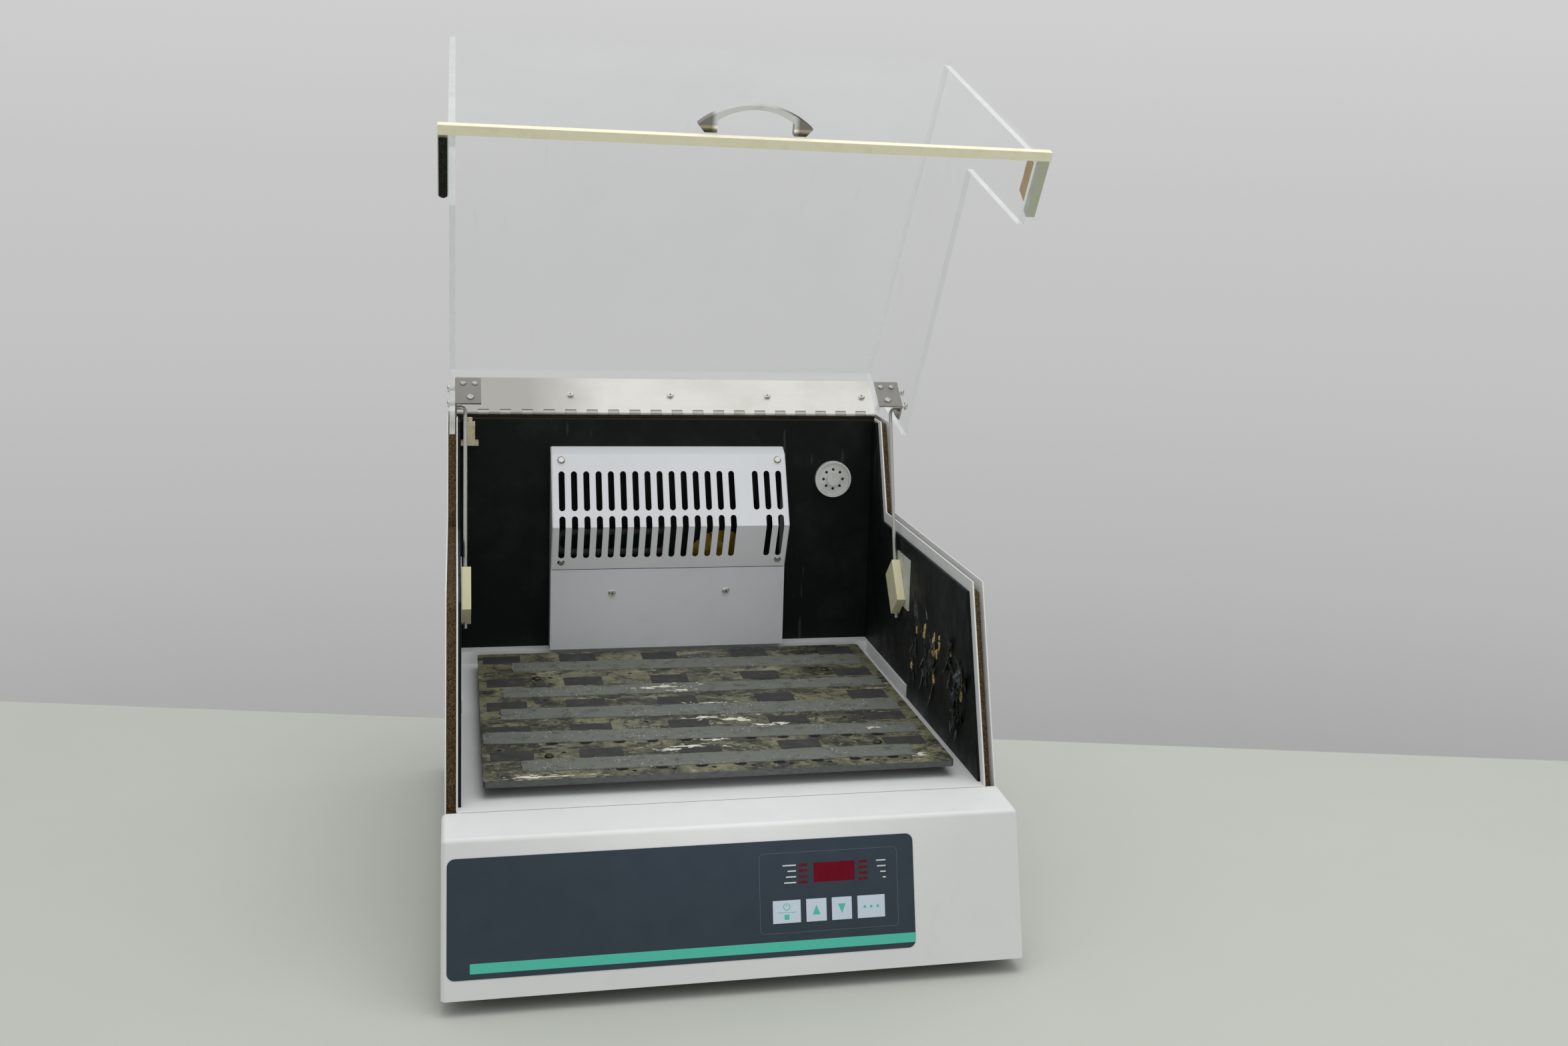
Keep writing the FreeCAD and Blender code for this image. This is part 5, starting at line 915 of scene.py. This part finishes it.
class ChannelFoam(bpy.types.Operator):
    """Build the worn foam strip that runs up each wall channel and along its top"""
    bl_idname = "shaker.channel_foam"
    bl_label = "Channel foam"

    def execute(self, context):
        sizes = context.scene.shaker_sizes
        outer, inner = channel_line(FOAM_RECESS), channel_line(FOAM_RECESS + FOAM_DEEP)
        rows = []
        for k in range(4):
            count = max(int(np.linalg.norm(outer[k + 1] - outer[k]) / FOAM_STEP), 4)
            share = np.linspace(0, 1, count, endpoint=(k == 3))[:, None]
            rows.append([line[k] * (1 - share) + line[k + 1] * share for line in (outer, inner)])
        rough, fine = ripples(sizes.seed, 5.0, 14), ripples(sizes.seed + 1, 2.2, 14)
        across = np.array((0, 0.12, 0.3, 0.5, 0.7, 0.88, 1.0))
        crown = (0.5 - (across - 0.5) ** 2 * 2)[:, None]
        shapes = []
        for side in (-1, 1):
            x = side * (FOAM_SIDE + across * FOAM_WIDE)
            top, low = (stacked(x, line[:, :1], line[:, 1:]) for line in map(np.concatenate, zip(*rows)))
            way = (top - low) / np.linalg.norm(top - low, axis=-1)[..., None]
            bulge = (rough(top) + 0.6 * fine(top))[..., None] * sizes.foam_rough / MM
            top = top + way * (bulge * 0.8 + crown * FOAM_CROWN - FOAM_DROP)
            shapes.append(sheet(top, low))
        foam = foam_finish("channel_foam_open", context.scene.shaker_colours.foam, linear(58, 40, 22))
        strips = piece("channel_foam_strips", shapes, "case", foam, replaces=("channel_foam",))
        return {"FINISHED"}


class AirCover(bpy.types.Operator):
    """Finish the cover, its slotted hood, the fan, the heater and the vent plug"""
    bl_idname = "shaker.air_cover"
    bl_label = "Air cover"

    def execute(self, context):
        hood = context.scene.shaker_colours.hood
        wear(coat_finish("hood_paint", hood, 0.5, 1500, 0.22), "cover_hood")
        # The cover is a darker copy of the hood's paint: painted shade on its upright face.
        wear(coat_finish("cover_paint", shade(hood, 0.8), 0.5, 1500, 0.22), "cover_box")
        wear(brushed_metal("brass_wheel", linear(196, 168, 84), 0.34, (700, 700, 4), 0.12), "fan_wheel")
        wear(brushed_metal("motor_steel", (0.50, 0.50, 0.50), 0.4, (300, 5, 300)), "fan_motor")
        # The heater is painted near black, as the shade inside the hood seen through its slots.
        dark = plain_plastic("heater_black", linear(40, 36, 34), 0.6, 600, 0.2, linear(62, 50, 42))
        wear(dark, "heater_coil")
        vent = plain_plastic("vent_plastic", linear(180, 181, 177), 0.42, 900, 0.03, linear(160, 160, 154))
        wear(vent, "vent_plug")
        # Dark discs in the vent plug's holes: painted shade.
        low, high = corners("vent_plug")
        middle = (low + high) / 2
        holes = []
        for angle in np.arange(VENT_HOLES) * 2 * math.pi / VENT_HOLES:
            spot = (middle[0] + VENT_RING * math.cos(angle), middle[2] + VENT_RING * math.sin(angle))
            holes.append(blob(on_front(low[1] + VENT_BOSS), spot, (VENT_HOLE, VENT_HOLE), 0, 0.08, 0, 0, 16))
        dark = plain_plastic("vent_hole", linear(22, 22, 21), 0.8, 500, 0.2)
        piece("vent_plug_holes", holes, "case", dark)
        return {"FINISHED"}


class Hinge(bpy.types.Operator):
    """Finish the piano hinge, its pin and its plate"""
    bl_idname = "shaker.hinge"
    bl_label = "Hinge"

    def execute(self, context):
        # The hinge plate's left end is painted darker, as shade.
        leaf = brushed_metal("hinge_plate", (0.90, 0.89, 0.84), 0.36, (2.5, 1100, 1100), 0.05,
                             painted_shade_left=(-170, -80, 0.58))
        wear(leaf, "hinge_leaf_lid")
        # The fixed leaf is painted darker than the lid's leaf, as shade under the hinge.
        fixed = brushed_metal("hinge_fixed", (0.66, 0.64, 0.58), 0.4, (2.5, 900, 900), 0.2, 0.2)
        wear(fixed, "hinge_leaf_fixed")
        wear(polished_metal("pin_steel", (0.62, 0.62, 0.60), 0.2), "hinge_pin")
        return {"FINISHED"}


class Lid(bpy.types.Operator):
    """Finish the clear lid, its trim, handle and end bars, and add the bar's foam and the strip of tape"""
    bl_idname = "shaker.lid"
    bl_label = "Lid"

    def execute(self, context):
        colours, seed = context.scene.shaker_colours, context.scene.shaker_sizes.seed
        wear(clear_finish("clear_sheet", colours.clear, True), "lid_sheet")
        wear(clear_finish("clear_side", colours.clear, False), "lid_sides")
        trim = plain_plastic("trim_moulding", colours.trim, 0.35, 700, 0.025, linear(228, 222, 188))
        wear(trim, "lid_edge_strip")
        # The handle turns brown towards its ends: a painted reflection of its brown surroundings.
        wear(polished_metal("handle_chrome", (0.86, 0.87, 0.88), 0.03, 0.25, (35, 39)), "lid_handle")
        wear(brushed_metal("bar_metal", linear(196, 198, 178), 0.45, (60, 60, 700), 0.1, 0.2), "lid_bars")

        rough = ripples(seed + 5, 4.0, 12)
        reach = np.linspace(*BAR_FOAM_ENDS, 34)[:, None]
        across = np.array((0, 0.15, 0.4, 0.65, 0.85, 1.0))
        x = -(BAR_FOAM_SIDE + across * BAR_FOAM_WIDE)
        seat = on_lid(x, reach, BAR_RISE)
        bulge = BAR_FOAM_THICK + 0.5 * rough(seat) - 1.4 * (2 * across - 1) ** 4
        face = on_lid(x, reach + 0.4 * rough(seat * 1.3), BAR_RISE - bulge)
        foam = foam_finish("bar_foam", linear(44, 48, 46), linear(14, 16, 15))
        piece("bar_foam_left", [sheet(face, seat)], "lid", foam)

        span, rise = np.linspace(*BAR_TAPE_ENDS, 24)[:, None], np.array(BAR_TAPE_RISES)
        wave = BAR_TAPE_WAVE * ripples(seed + 9, 9)(on_lid(BAR_TAPE_SIDE, span, rise))
        inside = on_lid(BAR_TAPE_SIDE + BAR_TAPE_FACES[0] + wave, span, rise)
        outside = on_lid(BAR_TAPE_SIDE + BAR_TAPE_FACES[1], span, rise)
        tan = plain_plastic("tan_tape", linear(196, 168, 132), 0.6, 420, 0.08, linear(176, 146, 108))
        piece("bar_tape_right", [sheet(inside, outside)], "lid", tan)
        return {"FINISHED"}


class Stays(bpy.types.Operator):
    """Finish the stay rods, their guide blocks, wall plates and brackets, and add the brackets' fittings"""
    bl_idname = "shaker.stays"
    bl_label = "Stays"

    def execute(self, context):
        wear(polished_metal("rod_steel", (0.80, 0.80, 0.77), 0.5, 0.15), "stay_rod_left", "stay_rod_right")
        colour = context.scene.shaker_colours.block
        block = plain_plastic("guide_nylon", colour, 0.45, 600, 0.03, linear(204, 198, 160),
                              subsurface_weight=0.08, subsurface_radius=(0.004, 0.003, 0.002))
        wear(block, "guide_block_left", "guide_block_right")
        backing = plain_plastic("guide_backing", linear(190, 191, 184), 0.5, 500, 0.05, linear(150, 150, 142))
        wear(backing, "guide_plates")
        dull = brushed_metal("bracket_steel", (0.34, 0.33, 0.31), 0.3, (80, 900, 80), 0.16, 0.3)
        wear(dull, "lid_brackets")
        place = on_lid_face(BRACKET_REACH)
        fittings = [blob(place, (side * x, rise), (radius, radius), 0, FITTING_RISE, number, 0, 20)
                    for number, (x, rise, radius) in enumerate(BRACKET_FITTINGS) for side in (-1, 1)]
        steel = polished_metal("fitting_steel", (0.66, 0.65, 0.62), 0.18, 0.4)
        piece("bracket_fittings", fittings, "lid", steel, smooth=True)
        return {"FINISHED"}


class LidSwitch(bpy.types.Operator):
    """Finish the switch that the lid presses"""
    bl_idname = "shaker.lid_switch"
    bl_label = "Lid switch"

    def execute(self, context):
        cream = plain_plastic("switch_body", linear(176, 168, 142), 0.5, 500, 0.06, linear(104, 92, 66))
        wear(cream, "lid_switch", "switch_plunger")
        return {"FINISHED"}


class Screws(bpy.types.Operator):
    """Finish the screws and lay dark crosses on their heads, painted shade of their recesses"""
    bl_idname = "shaker.screws"
    bl_label = "Screws"

    def execute(self, context):
        wear(polished_metal("screw_metal", (0.93, 0.92, 0.88), 0.24, 0.3), "case_screws", "lid_screws")
        wear(polished_metal("screw_dulled", linear(92, 90, 74), 0.45, 0.8), "platform_screws")
        # Dark crosses on the heads: painted shade in their recesses.
        dark = plain_plastic("screw_recess", linear(30, 29, 27), 0.7, 500, 0.2)
        for body, place, heads, level in (
                ("case", on_front(COVER_SCREW_DEPTH), COVER_SCREWS, COVER_SCREW_LEVEL),
                ("lid", on_lid_face(LEAF_SCREW_REACH), LEAF_SCREWS, LEAF_SCREW_RISE)):
            bars = [bar for x in heads for bar in cross(place, x, level)]
            piece(f"{body}_screw_recesses", bars, body, dark)
        return {"FINISHED"}


class ShakingPlate(bpy.types.Operator):
    """Finish the plate and build its tapes, pads, paint marks, and dark discs of painted shade in its screw
    holes
    """
    bl_idname = "shaker.shaking_plate"
    bl_label = "Shaking plate"

    def execute(self, context):
        colours, sizes = context.scene.shaker_colours, context.scene.shaker_sizes
        wear(plate_finish("plate_worn", colours.plate), "platform")
        wear(brushed_metal("carrier_metal", (0.52, 0.52, 0.51), 0.45, (400, 30, 30)), "shaker_carrier")
        tapes = [self.tape(number, sizes) for number in range(len(TAPES))]
        tape = tape_finish("grip_tape", colours.tape)
        piece("grip_tapes", tapes, "shaker", tape, replaces=("grip_strips",))
        rng = np.random.default_rng(sizes.seed)
        black = plain_plastic("pad_black", linear(48, 49, 48), 0.8, 420, 0.25, linear(70, 71, 66))
        piece("plate_pads", self.pads(sizes, rng), "shaker", black)
        # Dark discs in the plate's holes: painted shade.
        dark = plain_plastic("hole_dark", linear(9, 9, 8), 0.95, 300, 0.3)
        piece("plate_holes", self.holes(), "shaker", dark)
        paint = plain_plastic("dried_paint", linear(206, 205, 190), 0.75, 260, 0.12, linear(158, 156, 134))
        piece("plate_splashes", self.splashes(rng), "shaker", paint)
        return {"FINISHED"}

    def tape(self, number, sizes):
        """One tape: wavy on top, with ragged edges and ends."""
        left, right, front_left, back_left, front_right, back_right = TAPES[number]
        share, across = np.linspace(0, 1, 190)[:, None], np.linspace(0, 1, 11)
        x = left + (right - left) * share
        front = front_left + (front_right - front_left) * share
        back = back_left + (back_right - back_left) * share
        flat = stacked(x, front + (back - front) * across, 0)
        y = flat[..., 1] + (2 * across - 1) ** 5 * 0.55 * ripples(sizes.seed + 20 + number, 14)(flat)
        tip = np.clip(1 - share * 30, 0, 1) - np.clip(1 - (1 - share) * 30, 0, 1)
        x = x + tip * 1.6 * ripples(sizes.seed + 40 + number, 6)(flat)
        wave = sizes.tape_wave / MM * ripples(sizes.seed + 30 + number, 22)(flat)
        rise = np.minimum(sizes.tape_rise / MM + wave, TAPE_TOP)
        if number == TORN_TAPE:
            near = np.exp(-(((flat[..., :2] - TORN_SPOT) / TORN_SPOT_REACH) ** 2).sum(-1))
            rise = rise + near * (TORN_SPOT_RISE + TORN_SPOT_ROUGH * ripples(sizes.seed + 50, 7)(flat))
        on_plate = on_level(PLATE_TOP)
        return sheet(on_plate(x, y, rise), on_plate(x, y, TAPE_FOOT + np.maximum(rise - TAPE_THICK, 0)))

    def pads(self, sizes, rng):
        """The pads between the tapes, each a little askew."""
        pads = []
        for y, deep in PAD_ROWS:
            for x in PAD_COLUMNS:
                outline = rounded(x - PAD_HALF, x + PAD_HALF, y - deep / 2, y + deep / 2, PAD_ROUND, 4)
                outline = outline + rng.normal(size=outline.shape) * 0.25 + rng.normal(size=2) * 1.5
                pads.append(slab(on_level(PLATE_TOP), outline, -LAID_SUNK, sizes.pad_rise / MM))
        return pads

    def holes(self):
        """The plate's holes, as dark discs of painted shade."""
        left, right, front_left, _, front_right, _ = TAPES[3]
        slope = (front_right - front_left) / (right - left)
        spots = [(x, front_left + slope * (x - left) - 1.6, WIDE_HOLE, 0.1, number)
                 for number, x in enumerate(FOURTH_TAPE_HOLES)]
        for number, x in enumerate(LAST_TAPE_HOLES):
            spots.append((x, TAPES[4][2] - 1.8, WIDE_HOLE, 0.1, 60 + number))
            spots.append((x + ROW_SHIFT, ROW_Y, ROW_HOLE, 0.1, 90 + number))
        spots += [(x, y, SINGLE_HOLE, 0.08, 120 + number) for number, (x, y) in enumerate(SINGLE_SPOTS)]
        return [blob(on_level(PLATE_TOP), (x, y), radii, 0, rise, seed, 0.05, 20)
                for x, y, radii, rise, seed in spots]

    def splashes(self, rng):
        """Dried paint: each mark with small spots around it."""
        splashes = []
        for number, (x, y, wide, deep, over) in enumerate(MARKS):
            place = on_level(PLATE_TOP + over)
            splashes.append(blob(place, (x, y), (wide * 0.62, deep * 0.66), rng.normal() * 0.08, 0.16,
                                 200 + number, 0.85, 60, 0.1))
            for extra in range(MARK_SPOTS):
                spot = (x + rng.normal() * wide * 0.8, y + rng.normal() * deep * 1.2)
                radii = (rng.uniform(0.4, 3.4), rng.uniform(0.3, 1.1))
                splashes.append(blob(place, spot, radii, rng.normal() * 0.3, 0.12,
                                     300 + 15 * number + extra, 0.6, 14, 0.1))
        return splashes


class Drive(bpy.types.Operator):
    """Finish the shafts, bearings, pulleys, belt, motor and power parts under the deck"""
    bl_idname = "shaker.drive"
    bl_label = "Drive"

    def execute(self, context):
        steel = brushed_metal("shaft_steel", (0.62, 0.62, 0.61), 0.25, (400, 400, 20))
        wear(steel, "main_shaft", "idler_shaft_left", "idler_shaft_right", "shaft_bearings", "crank_bearings")
        iron = plain_plastic("cast_iron", linear(74, 76, 78), 0.55, 420, 0.15, linear(98, 90, 80),
                             metallic=0.6)
        wear(iron, "main_pulley", "bearing_housings", "drive_motor")
        wear(brushed_metal("pulley_metal", (0.70, 0.70, 0.71), 0.35, (300, 300, 20)), "motor_pulley")
        wear(brushed_metal("supply_case", (0.62, 0.63, 0.64), 0.4, (40, 900, 900)), "power_supply")
        wear(plain_plastic("belt_rubber", linear(32, 32, 33), 0.75, 500, 0.2), "drive_belt")
        wear(plain_plastic("inlet_black", linear(34, 34, 36), 0.42, 900, 0.08), "power_inlet", "power_switch")
        return {"FINISHED"}


class Stage(bpy.types.Operator):
    """Lay the bench, light it softly and set the camera"""
    bl_idname = "shaker.stage"
    bl_label = "Stage, light and camera"

    def execute(self, context):
        scene, settings = context.scene, context.scene.shaker_stage
        eye = Vector(settings.camera_place)
        ahead = Matrix.Rotation(settings.camera_turn[2], 3, "Z") @ Vector((0, 1, 0))
        aside = Vector((ahead.y, -ahead.x, 0))
        foot = Vector((eye.x, eye.y, BENCH_LEVEL))
        mesh = bpy.data.meshes.new("bench")
        mesh.from_pydata([foot + ahead * depth + aside * wide for wide, depth in
                          rectangle(-BENCH_WIDE, BENCH_WIDE, BENCH_NEAR, BENCH_FAR)], [], [[0, 1, 2, 3]])
        mesh.materials.append(floor_finish("bench_top", scene.shaker_colours.bench))
        floor = bpy.data.objects.new("bench", mesh)
        scene.collection.objects.link(floor)
        self.room(scene, settings)

        for name, setting, spot, wide in LAMPS:
            lamp = bpy.data.lights.new(name, "AREA")
            lamp.shape, lamp.size, lamp.energy = "DISK", wide, getattr(settings, setting)
            self.hang(scene, lamp, spot, LAMP_AIM)
        beam = bpy.data.lights.new("lamp_front", "SPOT")
        beam.energy, beam.shadow_soft_size = settings.beam, BEAM_SIZE
        beam.spot_size, beam.spot_blend = BEAM_SPREAD, 1.0
        self.hang(scene, beam, BEAM, BEAM_AIM)

        camera = bpy.data.cameras.new("camera")
        camera.lens, camera.sensor_width = settings.lens, 36
        camera.shift_x, camera.shift_y = settings.shift_x, settings.shift_y
        camera.clip_start, camera.clip_end = 0.05, 30
        thing = bpy.data.objects.new("camera", camera)
        thing.location, thing.rotation_euler = eye, settings.camera_turn
        scene.collection.objects.link(thing)
        scene.camera = thing
        scene.view_settings.view_transform = "Standard"
        return {"FINISHED"}

    def hang(self, scene, lamp, spot, aim):
        """Put a lamp at a spot, turned towards its aim, where no mirror shows it."""
        thing = bpy.data.objects.new(lamp.name, lamp)
        thing.location = spot
        thing.rotation_euler = (Vector(aim) - Vector(spot)).to_track_quat("-Z", "Y").to_euler()
        thing.visible_glossy = False
        scene.collection.objects.link(thing)

    def room(self, scene, settings):
        """The room's light, brighter overhead, the room in mirrors, and the wall that the camera sees."""
        scene.world = bpy.data.worlds.new("room")
        scene.world.use_nodes = True
        nodes, links = scene.world.node_tree.nodes, scene.world.node_tree.links
        nodes.clear()
        split = nodes.new("ShaderNodeSeparateXYZ")
        links.new(nodes.new("ShaderNodeTexCoord").outputs["Generated"], split.inputs[0])

        def spread(low, high, to_low=0.0, to_high=1.0):
            """How high the ray points, from low to high, spread over the two results."""
            node = nodes.new("ShaderNodeMapRange")
            sockets = ("From Min", "From Max", "To Min", "To Max")
            for socket, value in zip(sockets, (low, high, to_low, to_high)):
                node.inputs[socket].default_value = value
            links.new(split.outputs["Z"], node.inputs["Value"])
            return node.outputs[0]

        def toned(share, tones, bluer=0.0):
            """A background whose grey follows a share."""
            ramp = nodes.new("ShaderNodeValToRGB")
            stops = ramp.color_ramp.elements
            for number, (place, grey) in enumerate(tones):
                stop = stops[number] if number < 2 else stops.new(place)
                stop.position = place
                stop.color = (*linear(grey, grey, grey + bluer), 1)
            links.new(share, ramp.inputs[0])
            background = nodes.new("ShaderNodeBackground")
            links.new(ramp.outputs[0], background.inputs["Color"])
            return background.outputs[0]

        def choose(ray, others, chosen):
            """One look for a kind of ray, and another for the others."""
            mix = nodes.new("ShaderNodeMixShader")
            for socket, source in zip(mix.inputs, (path.outputs[ray], others, chosen)):
                links.new(source, socket)
            return mix.outputs[0]

        path = nodes.new("ShaderNodeLightPath")
        lit = nodes.new("ShaderNodeBackground")
        lit.inputs["Color"].default_value = (*SKY_TINT, 1)
        low, high = settings.sky * settings.low_share, settings.sky * settings.high_share
        links.new(spread(SKY_LOW, SKY_HIGH, low, high), lit.inputs["Strength"])
        mirrored = choose("Is Glossy Ray", lit.outputs[0], toned(spread(-1.0, 1.0), MIRROR_TONES))
        seen = choose("Is Camera Ray", mirrored, toned(spread(WALL_LOW, WALL_HIGH), WALL_TONES, 0.5))
        links.new(seen, nodes.new("ShaderNodeOutputWorld").inputs[0])


STEPS = (Stage, CaseSkins, Feet, FrontPanel, ChamberLiner, ChannelFoam, AirCover, Hinge, Lid, Stays,
         LidSwitch, Screws, ShakingPlate, Drive)


class ShakerPanel(bpy.types.Panel):
    bl_idname = "VIEW3D_PT_shaker"
    bl_label = "Incubated shaker"
    bl_space_type = "VIEW_3D"
    bl_region_type = "UI"
    bl_category = "Shaker"

    def draw(self, context):
        for step in STEPS:
            self.layout.operator(step.bl_idname)
        for group in (context.scene.shaker_colours, context.scene.shaker_sizes, context.scene.shaker_stage):
            box = self.layout.box()
            for name in group.bl_rna.properties.keys():
                if name not in ("rna_type", "name"):
                    box.prop(group, name)


GROUPS = {"shaker_colours": ShakerColours, "shaker_sizes": ShakerSizes, "shaker_stage": ShakerStage}


def register():
    for kind in (*GROUPS.values(), *STEPS, ShakerPanel):
        bpy.utils.register_class(kind)
    for name, group in GROUPS.items():
        setattr(bpy.types.Scene, name, PointerProperty(type=group))


def unregister():
    for name in GROUPS:
        delattr(bpy.types.Scene, name)
    for kind in reversed((*GROUPS.values(), *STEPS, ShakerPanel)):
        bpy.utils.unregister_class(kind)


def main():
    register()
    for step in STEPS:
        group, name = step.bl_idname.split(".")
        getattr(getattr(bpy.ops, group), name)()


if __name__ == "__main__":
    main()
